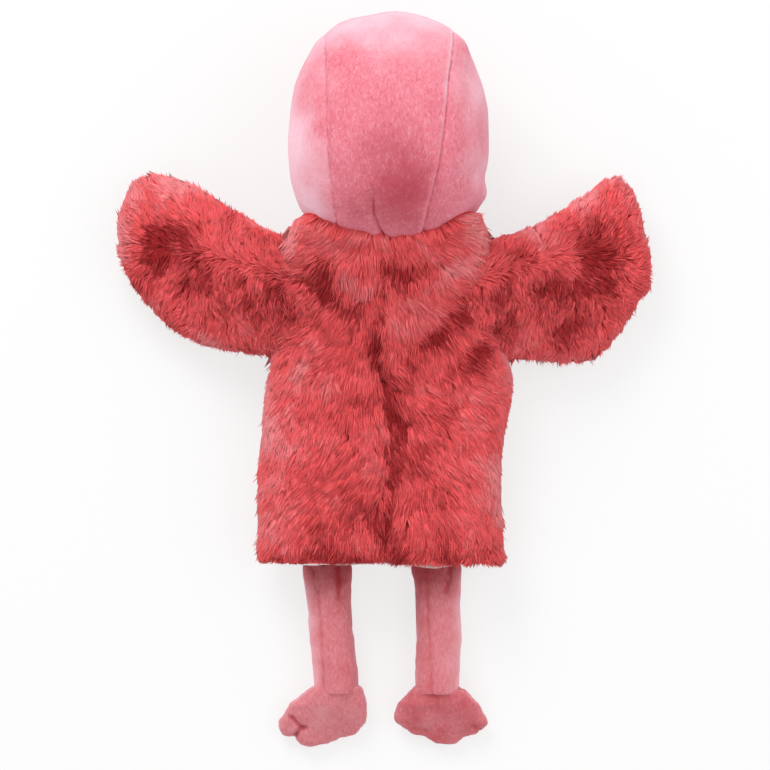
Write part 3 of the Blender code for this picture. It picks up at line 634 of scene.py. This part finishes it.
# Painted shade in the hollows and partings of the back: place, reach and darkness
BACK_PAINTED_SHADE = (
    (-0.0320, 0.0515, 0.0085, 0.70), (-0.0160, 0.0350, 0.0070, 0.55), (0.0135, 0.0580, 0.0070, 0.80),
    (0.0385, 0.0145, 0.0105, 1.00), (0.0320, 0.0370, 0.0075, 0.75), (0.0075, -0.0205, 0.0045, 0.60),
    (-0.0060, 0.0140, 0.0070, 0.30), (0.0260, -0.0200, 0.0080, 0.28), (-0.0430, 0.0330, 0.0060, 0.25),
    (0.0300, -0.0700, 0.0120, 0.50), (-0.0300, -0.0780, 0.0110, 0.32), (0.0100, -0.0780, 0.0110, 0.36),
    (-0.0110, -0.0650, 0.0130, 0.58), (0.0090, -0.0370, 0.0090, 0.68), (0.0100, -0.0160, 0.0070, 0.42),
    (-0.0110, 0.0420, 0.0060, 0.35), (0.0050, 0.0650, 0.0080, 0.55), (-0.0240, -0.0380, 0.0070, 0.20),
)
# Where light lies on the pile of a fold: place, reach and paleness
BACK_PALES = (
    (-0.0420, 0.0660, 0.0080, 0.18), (-0.0190, 0.0560, 0.0050, 0.22), (0.0300, 0.0580, 0.0090, 0.28),
    (0.0450, 0.0620, 0.0080, 0.22), (0.0120, 0.0330, 0.0080, 0.22), (-0.0370, 0.0100, 0.0110, 0.22),
    (-0.0380, -0.0300, 0.0130, 0.20), (0.0420, -0.0070, 0.0070, 0.20), (0.0520, -0.0500, 0.0130, 0.34),
    (0.0250, 0.0150, 0.0070, 0.14), (-0.0560, -0.0200, 0.0160, 0.36), (0.0570, 0.0060, 0.0070, 0.16),
    (-0.0380, 0.0735, 0.0080, 0.12), (0.0430, 0.0710, 0.0090, 0.26), (-0.0540, -0.0700, 0.0090, 0.30),
    (-0.0560, 0.0300, 0.0080, 0.25),
)
# How much of the pile's tone the darkest painted shade of the back takes away, and the painted shade at the
# edge of the hem
BACK_DARKEST = 0.43
HEM_DARKEST = 0.22
# All the panels that are cut from fur
FUR_NODES = (
    "back_panel_left", "back_panel_right", "front_panel",
    "wing_back_left", "wing_back_right", "wing_front_left", "wing_front_right",
)
# The pile: at its roots, in painted shade; deep in tone and in painted shade; on the level; pale in tone and
# in painted light; and the knitted ground, deeper than the pile as painted shade between the strands
FUR_ROOT = (0.800, 0.062, 0.068)
FUR_DEEP_AND_SHADED = (0.370, 0.018, 0.021)
FUR_MAIN = (0.980, 0.120, 0.127)
FUR_PALE = (1.000, 0.295, 0.315)
FUR_SHEEN = (1, 0.34, 0.37)
GROUND_DEEP = (0.560, 0.030, 0.034)
GROUND_MAIN = (0.720, 0.050, 0.055)


def long_pile():
    """Strands that are deep red at the root and paler at the tip, lighter or darker by the lock and by
    painted light and shade.
    """
    fur = Finish(
        "coral_pile", Specular_IOR_Level=0.12,
        Sheen_Weight=0.22, Sheen_Roughness=0.6, Sheen_Tint=(*FUR_SHEEN, 1),
    )
    along = fur.painted("along")
    tone = fur.painted("tone")
    base = fur.mix(fur.between(tone, 0, 0.5), FUR_DEEP_AND_SHADED, FUR_MAIN)
    base = fur.mix(fur.between(tone, 0.5, 1), base, FUR_PALE)
    # Painted shade darkens the roots, and painted light pales the tips of the paler strands
    base = fur.mix(fur.between(along, 0.5, 0) * 0.6, base, FUR_ROOT)
    base = fur.mix(fur.between(along, 0.6, 1) * tone * 0.5, base, FUR_PALE)
    return fur.shade(Base_Color=base, Roughness=0.85 - along * 0.15)


def fur_cloth():
    """The knitted ground under the pile, painted deeper than the pile, as shade between the strands where it
    shows.
    """
    ground = Finish("coral_ground", Roughness=0.95, Specular_IOR_Level=0.1)
    knit = ground.noise(ground.place(), 900, 2)
    base = ground.mix(ground.between(knit, 0.3, 0.7), GROUND_DEEP, GROUND_MAIN)
    return ground.shade(Base_Color=base, Normal=ground.bump(knit, 0.0003, 0.5))


coral_pile = long_pile()
coral_ground = fur_cloth()


def body_axis(points):
    """The middle line of the body beside each point."""
    along = points[:, 1]
    return np.column_stack((np.zeros(len(points)), along, np.interp(along, *zip(*BODY_AXIS_Z))))


def cloth_under(node, outer):
    """A fur panel's ground: the outer wall of its CAD solid, smoothed.

    Faces that touch another solid, and those that outer says no to, are left out.
    """
    cloth = copy_of([node], node + "_cloth")
    others = tree_of([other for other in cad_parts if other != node])
    for face in cloth.data.polygons:
        near = others.find_nearest(face.center, 0.0006)[0]
        face.select = near is not None or not outer(face.center, face.normal)
    for edge in cloth.data.edges:
        edge.select = False
    for vertex in cloth.data.vertices:
        vertex.select = False
    bpy.ops.object.mode_set(mode="EDIT")
    bpy.ops.mesh.select_mode(type="FACE")
    bpy.ops.mesh.delete(type="FACE")
    bpy.ops.object.mode_set(mode="OBJECT")
    pair_triangles(cloth, 1.2)
    subdivide(cloth, 2)
    return cloth


def unit(vectors):
    return vectors / np.maximum(np.linalg.norm(vectors, axis=1, keepdims=True), 1e-12)


def scatter(cloth, count, rng):
    """Random places on a cloth and the way it faces there."""
    data = cloth.data
    data.calc_loop_triangles()
    corners = np.empty(len(data.loop_triangles) * 3, np.int32)
    data.loop_triangles.foreach_get("vertices", corners)
    corners = corners.reshape(-1, 3)
    points, normals = points_of(cloth), normals_of(cloth)
    a, b, c = (points[corners[:, i]] for i in range(3))
    areas = np.linalg.norm(np.cross(b - a, c - a), axis=1)
    picked = rng.choice(len(corners), count, p=areas / areas.sum())
    first, second = np.sqrt(rng.random(count)), rng.random(count)
    shares = np.column_stack((1 - first, first * (1 - second), first * second))
    place = np.einsum("ij,ijk->ik", shares, points[corners[picked]])
    facing = unit(np.einsum("ij,ijk->ik", shares, normals[corners[picked]]))
    return place, facing


def combed(points, rows, reach):
    """The way the pile lies at each point, blended from the comb's strokes near it."""
    strokes = np.array([(x, y, turn) for y, row in rows.items() for x, turn in row])
    turns = np.radians(strokes[:, 2])
    ways = np.column_stack((np.sin(turns), -np.cos(turns), np.zeros(len(turns))))
    off = points[:, None, :2] - strokes[None, :, :2]
    return unit((np.exp(-(off**2).sum(axis=2) / reach**2) + 1e-12) @ ways)


def nearest(points, centres):
    """Which centre each point is nearest to."""
    finder = kdtree.KDTree(len(centres))
    for i, centre in enumerate(centres):
        finder.insert(centre, i)
    finder.balance()
    return np.array([finder.find(point)[1] for point in points])


def bent(places, facing, ways, turns, lengths, lifts):
    """The root, bend and tip of strands that rise from a cloth and then lie along it."""
    way = ways(places)
    way = unit(way - facing * np.sum(way * facing, axis=1, keepdims=True))
    turn = np.radians(turns)[:, None]
    way = way * np.cos(turn) + np.cross(facing, way) * np.sin(turn)
    made = [places]
    for rise in STRAND_RISES:
        angle = np.radians(rise + lifts)[:, None]
        made.append(made[-1] + lengths[:, None] / 2 * (way * np.cos(angle) + facing * np.sin(angle)))
    return made


def drawn(path, towards, shares):
    """Points drawn towards others by a share for each bend."""
    return [own * (1 - share) + other * share for own, other, share in zip(path, towards, shares)]


def trimmed(points, tree, reach):
    """Points that stand out of the panels by more than their reach, brought back to it."""
    made = points.copy()
    for i, point in enumerate(points):
        near, normal, _, gap = tree.find_nearest(Vector(point))
        if gap > reach[i] and (Vector(point) - near).dot(normal) > 0:
            made[i] = near + (Vector(point) - near) * (reach[i] / gap)
    return made


def strand_mesh(name, path, facing, tone, size):
    """Strands as one object: each is a closed sliver from its root, over its bend, to its tip."""
    count = len(tone)
    across = unit(np.cross(unit(path[2] - path[0]), facing))
    sides = across * size[:, None]
    vertices = np.stack([path[0], path[1] - sides, path[1] + sides, path[2]], axis=1)
    vertices[:, :, 2] = np.maximum(vertices[:, :, 2], FLOOR_GAP)
    faces = np.array(((0, 2, 1), (1, 2, 3), (0, 1, 3), (0, 3, 2)))
    every = (faces[None] + np.arange(count)[:, None, None] * 4).reshape(-1, 3)

    data = bpy.data.meshes.new(name)
    data.vertices.add(count * 4)
    data.vertices.foreach_set("co", vertices.astype(np.float32).ravel())
    data.loops.add(every.size)
    data.loops.foreach_set("vertex_index", every.astype(np.int32).ravel())
    data.polygons.add(len(every))
    data.polygons.foreach_set("loop_start", np.arange(0, every.size, 3, dtype=np.int32))
    data.update(calc_edges=True)
    pile = bpy.data.objects.new(name, data)
    bpy.context.scene.collection.objects.link(pile)
    along, tones = np.tile((0, 0.5, 0.5, 1), count), np.repeat(tone, 4)
    paint(pile, along=along, tone=tones)
    # Each strand's own strip of the map: its tone and painted light across and its length up
    strip = np.tile(np.array((0, -0.004, 0.004, 0)), count)
    flat = np.column_stack((np.clip(tones, 0.01, 0.99) + strip, 0.02 + 0.96 * along)).astype(np.float32)
    data.uv_layers.new(name="OFBake").data.foreach_set("uv", flat[every.ravel()].ravel())
    smooth(pile)
    # A strand is shaded mostly like its cloth, so that a lock looks soft and not like a bundle of rods
    rounding = np.stack([facing, -across, across, facing], axis=1)
    upright = RIM_LIGHT * np.clip(facing[:, 2] + 0.4, 0, 0.4) / 0.4
    softened = facing * SOFTNESS + np.outer(upright, (0, 0, 1))
    shading = unit((softened[:, None] + rounding * (1 - SOFTNESS)).reshape(-1, 3))
    data.normals_split_custom_set_from_vertices(shading.astype(np.float32))
    return pile


def grow_pile(name, cloth, ways, depth, shade, count, length, seed, spread):
    """The pile on a cloth: tufts of locks of strands that bend over towards their lock's tip."""
    rng = np.random.default_rng(seed)
    roots, facing = scatter(cloth, count, rng)
    locks, lock_facing = scatter(cloth, count // LOCK_STRANDS, rng)
    tufts, tuft_facing = scatter(cloth, count // TUFT_STRANDS, rng)
    lock, tuft = nearest(roots, locks), nearest(locks, tufts)

    tuft_turn = rng.normal(0, spread, len(tufts)) + 40 * waves(tufts, 0.016, seed)
    tuft_length = length * rng.uniform(0.92, 1.12, len(tufts))
    tuft_lift = rng.normal(0, 5, len(tufts))
    tuft_tone = rng.normal(0, 0.03, len(tufts))
    tuft_path = bent(tufts, tuft_facing, ways, tuft_turn, tuft_length, tuft_lift)

    lock_turn = tuft_turn[tuft] + rng.normal(0, spread * 0.8, len(locks))
    lock_length = length * rng.uniform(0.80, 1.15, len(locks))
    lock_lift = tuft_lift[tuft] + rng.normal(0, 5, len(locks))
    lock_tone = tuft_tone[tuft] + rng.normal(0, 0.05, len(locks)) + 0.30 * waves(locks, 0.011, seed + 3.0)
    lock_path = bent(locks, lock_facing, ways, lock_turn, lock_length, lock_lift)
    lock_path = drawn(lock_path, [points[tuft] for points in tuft_path], (0, 0.06, 0.16))

    own_turn = lock_turn[lock] + rng.normal(0, 9, count)
    own_length = lock_length[lock] * rng.uniform(0.60, 1.12, count)
    path = bent(roots, facing, ways, own_turn, own_length, lock_lift[lock] + rng.normal(0, 8, count))
    path = drawn(path, [points[lock] for points in lock_path], (0, 0.14, 0.40))
    tree = tree_of(FUR_NODES)
    reach = np.minimum(rng.exponential(FRINGE, count), FRINGE_MOST) + np.maximum(-depth(roots), 0)
    # What grows below the edges stays under what grows above them
    reach *= np.clip(0.45 + facing[:, 2], 0.2, 1)
    # It hangs furthest on the right
    hanging = (roots[:, 1] < HEM_Y) * np.clip((roots[:, 0] + 0.01) / 0.02, 0.15, 1)
    reach += HEM_FALL * rng.random(count) * hanging
    path = [path[0], trimmed(path[1], tree, reach * 0.6), trimmed(path[2], tree, reach)]
    # Painted light: the pile is paler towards an edge
    painted_rim_light = RIM_PAINTED_LIGHT * (1 - np.abs(facing[:, 2])) ** 1.5
    # The tone is random by tuft, lock and strand, with the painted light and shade of each place and of the
    # edge added
    tone = np.clip(0.5 + lock_tone[lock] + rng.normal(0, 0.07, count) + shade(roots) + painted_rim_light, 0, 1)
    size = STRAND_WIDTH / 2 * rng.uniform(0.7, 1.3, count)
    return strand_mesh(name, path, facing, tone, size)


def body_outer(centre, normal):
    """Whether a face looks away from the body's middle line."""
    place = np.array([centre])
    out = unit((place - body_axis(place)) * (1, 0, 1))[0]
    return float(np.dot(out, normal)) > 0.3


def back_ways(points):
    return combed(points, BACK_COMB, COMB_REACH)


def front_ways(points):
    return unit(np.column_stack((points[:, 0] * 6, np.full(len(points), -1.0), np.zeros(len(points)))))


def back_depth(points):
    """How much deeper the back's ground lies than elsewhere, in its creases and hollows."""
    depth = spots(points, BACK_HOLLOWS)
    for path, width, deep, _ in BACK_CREASES:
        depth += deep * groove(path_distances(points, path), width)
    return (np.minimum(depth, DEPTH_MOST) - spots(points, BACK_FOLDS)) * (points[:, 2] > 0.025)


def back_light_and_shade(points):
    """Painted light and shade on the back's pile: how much paler or darker it is than elsewhere."""
    painted_shade = spots(points, BACK_PAINTED_SHADE)
    for path, width, _, darkness in BACK_CREASES:
        painted_shade += darkness * groove(path_distances(points, path), width * 1.25)
    pale = spots(points, BACK_PALES)
    # Painted shade along the edge of the hem
    low = groove(np.minimum(points[:, 1] + 0.090, 0), 0.01) * (points[:, 1] < -0.080)
    return (pale - BACK_DARKEST * np.minimum(painted_shade, 1) - HEM_DARKEST * low) * (points[:, 2] > 0.02)


def none(points):
    return np.zeros(len(points))


def fur_panel(node, outer, ways, count, seed, depth=none, shade=none, length=PILE_LENGTH, spread=9):
    """A ground of cloth set in by the pile's depth, and the pile that grows on it."""
    cloth = cloth_under(node, outer)
    points, normals = points_of(cloth), normals_of(cloth)
    points = points - normals * (PILE_DEPTH + depth(points))[:, None]
    points[:, 2] = np.maximum(points[:, 2], CLOTH_THICKNESS + 2 * FLOOR_GAP)
    set_points(cloth, points)
    pile = grow_pile(node + "_pile", cloth, ways, depth, shade, count, length, seed, spread)
    apply_modifier(cloth, "SOLIDIFY", thickness=CLOTH_THICKNESS, offset=-1)
    smooth(cloth)
    dress(cloth, coral_ground, "coral_fur", node)
    dress(pile, coral_pile, "coral_fur")


for seed, side in enumerate(("left", "right"), 1):
    fur_panel(f"back_panel_{side}", body_outer, back_ways, BACK_STRANDS, seed, back_depth, back_light_and_shade)
fur_panel("front_panel", body_outer, front_ways, FRONT_STRANDS, 3)


# The wings
# Each is a back and a front panel of the same fur, sewn round the edge, turned and sewn to the
# body's side. The pile is brushed out from the middle, so that it parts in a hollow there, with painted shade
# in it.

WING_STRANDS = {"back": 28000, "front": 12000}
WING_PILE_LENGTH = 0.0090
# How much the way of one tuft differs from the next, in degrees
WING_SPREAD = 17
# How much painted shade darkens a wing in its darkest place, and how much darker the wing is all over
WING_DARKEST = 0.44
WING_DARKER = 0.13
# The middle of the hollow that each wing's pile parts at
WING_HOLLOWS = {"left": (-0.1095, 0.0665), "right": (0.1025, 0.0640)}
# Hollows, then the painted shade and the painted light of each wing's back: place, reach and strength
WING_DEPTHS = {
    "left": ((-0.1095, 0.0665, 0.0085, 0.0026), (-0.0840, 0.0560, 0.0055, 0.0012)),
    "right": ((0.1025, 0.0640, 0.0085, 0.0026), (0.0780, 0.0500, 0.0060, 0.0012)),
}
WING_PAINTED_SHADE = {
    "left": (
        (-0.1095, 0.0645, 0.0110, 0.95), (-0.0880, 0.0560, 0.0090, 0.60), (-0.0640, 0.0450, 0.0080, 0.40),
        (-0.0980, 0.0440, 0.0080, 0.45), (-0.0555, 0.0480, 0.0045, 0.40), (-0.0590, 0.0360, 0.0045, 0.35),
    ),
    "right": (
        (0.1025, 0.0620, 0.0110, 0.95), (0.0780, 0.0500, 0.0090, 0.60), (0.0640, 0.0350, 0.0080, 0.45),
        (0.1080, 0.0540, 0.0090, 0.40), (0.0550, 0.0480, 0.0050, 0.50), (0.0590, 0.0300, 0.0050, 0.50),
        (0.0925, 0.0400, 0.0110, 0.50), (0.0925, 0.0260, 0.0080, 0.45),
    ),
}
WING_PAINTED_LIGHT = {
    "left": (
        (-0.1240, 0.0900, 0.0090, 0.50), (-0.1030, 0.0930, 0.0100, 0.55), (-0.1300, 0.0680, 0.0100, 0.50),
        (-0.0860, 0.0230, 0.0090, 0.30), (-0.0720, 0.0700, 0.0060, 0.20), (-0.1120, 0.0440, 0.0060, 0.25),
    ),
    "right": (
        (0.1170, 0.0990, 0.0100, 0.55), (0.1290, 0.0740, 0.0090, 0.50), (0.0960, 0.0850, 0.0090, 0.50),
        (0.1000, 0.0150, 0.0080, 0.30), (0.0740, 0.0680, 0.0080, 0.45), (0.0720, 0.0220, 0.0070, 0.20),
    ),
}


def wing_ways(side):
    """The pile of a wing parts along a line through its hollow: above it lies up, below it down."""
    towards = 1 if side == "right" else -1

    def ways(points):
        away = points - (*WING_HOLLOWS[side], 0)
        along = np.clip(away[:, 0] / 0.030, -1, 1)
        up = np.tanh((away[:, 1] + 0.25 * np.abs(away[:, 0])) / 0.010) - 0.15
        return unit(np.column_stack((0.40 * along + 0.48 * towards, up, np.zeros(len(points)))))

    return ways


def wing_depth(side):
    def depth(points):
        return np.minimum(spots(points, WING_DEPTHS[side]), DEPTH_MOST) * (points[:, 2] > 0.012)

    return depth


# Painted light and shade on each wing's back
def wing_light_and_shade(side):
    def shade(points):
        painted_shade = np.minimum(spots(points, WING_PAINTED_SHADE[side]), 1)
        pale = spots(points, WING_PAINTED_LIGHT[side])
        return (pale - WING_DARKEST * painted_shade - WING_DARKER) * (points[:, 2] > 0.010)

    return shade


def top_outer(centre, normal):
    return normal[2] > 0.02


def under_outer(centre, normal):
    return normal[2] < -0.02


for seed, side in enumerate(("left", "right"), 11):
    fur_panel(
        f"wing_back_{side}", top_outer, wing_ways(side), WING_STRANDS["back"], seed,
        wing_depth(side), wing_light_and_shade(side), WING_PILE_LENGTH, WING_SPREAD,
    )
    fur_panel(
        f"wing_front_{side}", under_outer, wing_ways(side), WING_STRANDS["front"], seed + 10,
        length=WING_PILE_LENGTH, spread=WING_SPREAD,
    )


# The legs
# Tubes of the same plush, each closed by one seam, stuffed, and pressed flat at the top where
# they are caught in the hem. Each is sewn on to the ankle of its foot.

# The leg plush, in painted shade and dark grain, in painted light and pale grain, and its sheen
LEG_PINK = (0.720, 0.215, 0.242)
LEG_DEEP = (0.560, 0.066, 0.082)
LEG_PALE = (0.980, 0.480, 0.540)
LEG_SHEEN = (1, 0.60, 0.66)
# Each leg's seam, and the creases where the hem pinches it
LEG_SEAMS = {
    "left": ((-0.0350, -0.0930), (-0.0325, -0.1200), (-0.0310, -0.1560)),
    "right": ((0.0205, -0.0930), (0.0215, -0.1250), (0.0235, -0.1560)),
}
LEG_CREASES = {
    "left": (((-0.0360, -0.0930), (-0.0340, -0.1040)), ((-0.0240, -0.0920), (-0.0230, -0.1100))),
    "right": (((0.0330, -0.0930), (0.0310, -0.1060)),),
}
# How deep they are
LEG_SEAM_DEPTH = 0.0007
LEG_CREASE_DEPTH = 0.0012
# How far the lower end goes into the foot's ankle, and from where
LEG_TUCK = 0.0045
LEG_END_Y = -0.1480
# The line down each leg from which painted light makes it paler outwards
LEG_MIDDLE_X = 0.0270

leg_plush = short_pile("leg_plush", LEG_PINK, LEG_DEEP, LEG_PALE, LEG_SHEEN)
for side in ("left", "right"):
    leg = copy_of([f"leg_{side}"], f"leg_{side}_plush")
    pair_triangles(leg, 1.2)
    subdivide(leg, 3)
    points, outward = points_of(leg), normals_of(leg)
    on_back = outward[:, 2] > 0
    seam = groove(path_distances(points, LEG_SEAMS[side]), 0.0009) * on_back
    crease = sum(groove(path_distances(points, path), 0.0016) for path in LEG_CREASES[side]) * on_back
    lift = 0.0007 * waves(points, 0.011, 3.0) + 0.0003 * waves(points, 0.004, 7.0)
    lift -= LEG_SEAM_DEPTH * seam
    lift -= LEG_CREASE_DEPTH * crease
    points += outward * lift[:, None]
    points[:, 1] -= LEG_TUCK * np.clip((LEG_END_Y - points[:, 1]) / 0.003, 0, 1)
    set_points(leg, points)
    # Painted light makes the plush paler at the edges, and more so on the outer side; painted shade darkens
    # the creases
    nap = 0.35 * waves(points, 0.009, 1.0) + (1 - np.abs(outward[:, 2])) ** 1.3 - 0.6 * crease
    nap += 30 * (np.abs(points[:, 0]) - LEG_MIDDLE_X) + 0.05
    # Painted shadow of the hem: the plush is deepest under it
    nap -= 0.50 * groove(np.minimum(points[:, 1] + 0.095, 0), 0.012)
    # Painted shade in the seam, broken up along it
    paint(leg, nap=nap, seam=np.clip(seam * (0.6 + 0.5 * waves(points, 0.004)), 0, 1))
    smooth(leg)
    dress(leg, leg_plush, "pink_plush", f"leg_{side}", f"leg_filling_{side}")


# The feet
# A sole and an upper panel of the same plush, sewn round the edge and stuffed, with the toes
# marked by creases. Only the sole and the heel show from behind.

FOOT_VOXEL = 0.0015
# How much of the way from the hull to the CAD surface the cloth is drawn in
FOOT_DRAWN = 0.85
# Each foot's creases: a path, its width and its depth, and the depth at which a crease's painted shade is
# full
FOOT_CREASE_FULL_SHADE = 0.0022
FOOT_CREASES = {
    "left": (
        (((-0.0470, -0.1700), (-0.0440, -0.1735), (-0.0420, -0.1750)), 0.0012, 0.0022),
        (((-0.0450, -0.1795), (-0.0430, -0.1765), (-0.0400, -0.1750)), 0.0011, 0.0020),
        (((-0.0300, -0.1545), (-0.0210, -0.1520), (-0.0130, -0.1510)), 0.0009, 0.0010),
    ),
    "right": (
        (((0.0160, -0.1530), (0.0250, -0.1560), (0.0390, -0.1550)), 0.0009, 0.0010),
        (((0.0480, -0.1760), (0.0440, -0.1740)), 0.0012, 0.0014),
        (((0.0150, -0.1760), (0.0200, -0.1770)), 0.0014, 0.0012),
    ),
}
# How the toes bulge and the stuffing dents between them: place, reach and height
FOOT_LUMPS = {
    "left": (
        (-0.0530, -0.1745, 0.0040, 0.0014), (-0.0375, -0.1835, 0.0050, 0.0014),
        (-0.0460, -0.1800, 0.0022, -0.0018), (-0.0225, -0.1795, 0.0050, -0.0010),
    ),
    "right": (
        (0.0045, -0.1690, 0.0050, 0.0012), (0.0200, -0.1800, 0.0040, -0.0014),
        (0.0400, -0.1795, 0.0040, -0.0014), (0.0510, -0.1745, 0.0040, 0.0014),
    ),
}
# How much paler or deeper each sole is painted
FOOT_SOLE_TONE = {"left": 0.10, "right": -0.45}

for side in ("left", "right"):
    nodes = [f"foot_sole_{side}", f"foot_upper_{side}"]
    foot = stuffed(f"foot_{side}_plush", nodes, FOOT_VOXEL)
    subdivide(foot, 1)
    points = points_of(foot)
    tree = tree_of(nodes)
    drawn_in = np.array([tree.find_nearest(Vector(point))[0] for point in points])
    set_points(foot, points * (1 - FOOT_DRAWN) + drawn_in * FOOT_DRAWN)
    apply_modifier(foot, "SMOOTH", factor=0.5, iterations=2)
    points, outward = points_of(foot), normals_of(foot)
    lift = 0.0004 + 0.0006 * waves(points, 0.008, 4.0) + 0.0003 * waves(points, 0.0035, 8.0)
    lift += spots(points, FOOT_LUMPS[side])
    # Painted shade in the creases
    painted_shade = np.zeros(len(points))
    for path, width, depth in FOOT_CREASES[side]:
        line = groove(path_distances(points, path), width) * (outward[:, 2] > -0.2)
        lift -= depth * line
        painted_shade += line * depth / FOOT_CREASE_FULL_SHADE
    set_points(foot, points + outward * lift[:, None])
    # Painted light: the plush is paler towards the edges
    painted_rim_light = 0.8 * (1 - np.abs(outward[:, 2])) ** 1.3
    paint(foot, nap=0.30 * waves(points, 0.010, 6.0) + FOOT_SOLE_TONE[side] + painted_rim_light, seam=np.clip(painted_shade, 0, 1))
    smooth(foot)
    dress(foot, leg_plush, "pink_plush", *nodes, f"foot_filling_{side}")


# The floor, the lamps and the camera
# A plain pale floor and soft studio light from beyond the head, seen from straight above through
# a long lens, as the photograph shows the puppet's back.

CAMERA_DISTANCE = 4.0
SENSOR_WIDTH = 36
# The width that the picture shows at the subject's height, and the Y of its middle
VIEW_WIDTH = 0.385
VIEW_MIDDLE_Y = -0.00275
SUBJECT_HEIGHT = 0.035
FLOOR_WIDTH = 6.0
FLOOR_GREY = (0.93, 0.93, 0.93, 1)
# How much of the floor's own white shows to the camera, in place of its lit surface
FLOOR_GLOW = 0.72
SKY_LIGHT = 0.68
WHITE = (1, 1, 1, 1)

floor_finish = Finish("pale_floor", Roughness=0.9)
floor_finish.shade(Base_Color=FLOOR_GREY)
bpy.ops.object.select_all(action="DESELECT")
bpy.ops.mesh.primitive_plane_add(size=FLOOR_WIDTH, location=(0, 0, 0))
floor = bpy.context.object
floor.name = "floor"
floor.data.materials.append(floor_finish.material)
rays = floor_finish.node("ShaderNodeLightPath", output="Is Camera Ray")
glow = floor_finish.node("ShaderNodeEmission", None, {"Color": WHITE, "Strength": 1.0}, "Emission")
surface = Value(floor_finish, floor_finish.shader.outputs["BSDF"])
lit = floor_finish.node(
    "ShaderNodeMixShader", None, {0: rays * FLOOR_GLOW, 1: surface, 2: glow}, "Shader",
)
floor_finish.tree.links.new(lit.socket, floor_finish.tree.nodes["Material Output"].inputs["Surface"])

world = bpy.data.worlds.new("studio")
bpy.context.scene.world = world
world.use_nodes = True
background = world.node_tree.nodes["Background"]
background.inputs["Color"].default_value = WHITE
background.inputs["Strength"].default_value = SKY_LIGHT


def lamp(name, place, size, watts):
    """A soft square lamp that faces the puppet."""
    light = bpy.data.lights.new(name, "AREA")
    light.size = size
    light.energy = watts
    lamp_object = bpy.data.objects.new(name, light)
    lamp_object.location = place
    towards = Vector((0, 0, 0.03)) - Vector(place)
    lamp_object.rotation_euler = towards.to_track_quat("-Z", "Y").to_euler()
    bpy.context.scene.collection.objects.link(lamp_object)


lamp("key", (-0.55, 1.25, 1.15), 0.9, 15)
lamp("fill", (1.2, 0.2, 1.4), 1.2, 5)

camera_data = bpy.data.cameras.new("camera")
camera_data.sensor_width = SENSOR_WIDTH
camera_data.lens = SENSOR_WIDTH * CAMERA_DISTANCE / VIEW_WIDTH
camera = bpy.data.objects.new("camera", camera_data)
camera.location = (0, VIEW_MIDDLE_Y, SUBJECT_HEIGHT + CAMERA_DISTANCE)
bpy.context.scene.collection.objects.link(camera)
bpy.context.scene.camera = camera
bpy.context.scene.view_settings.view_transform = "Standard"
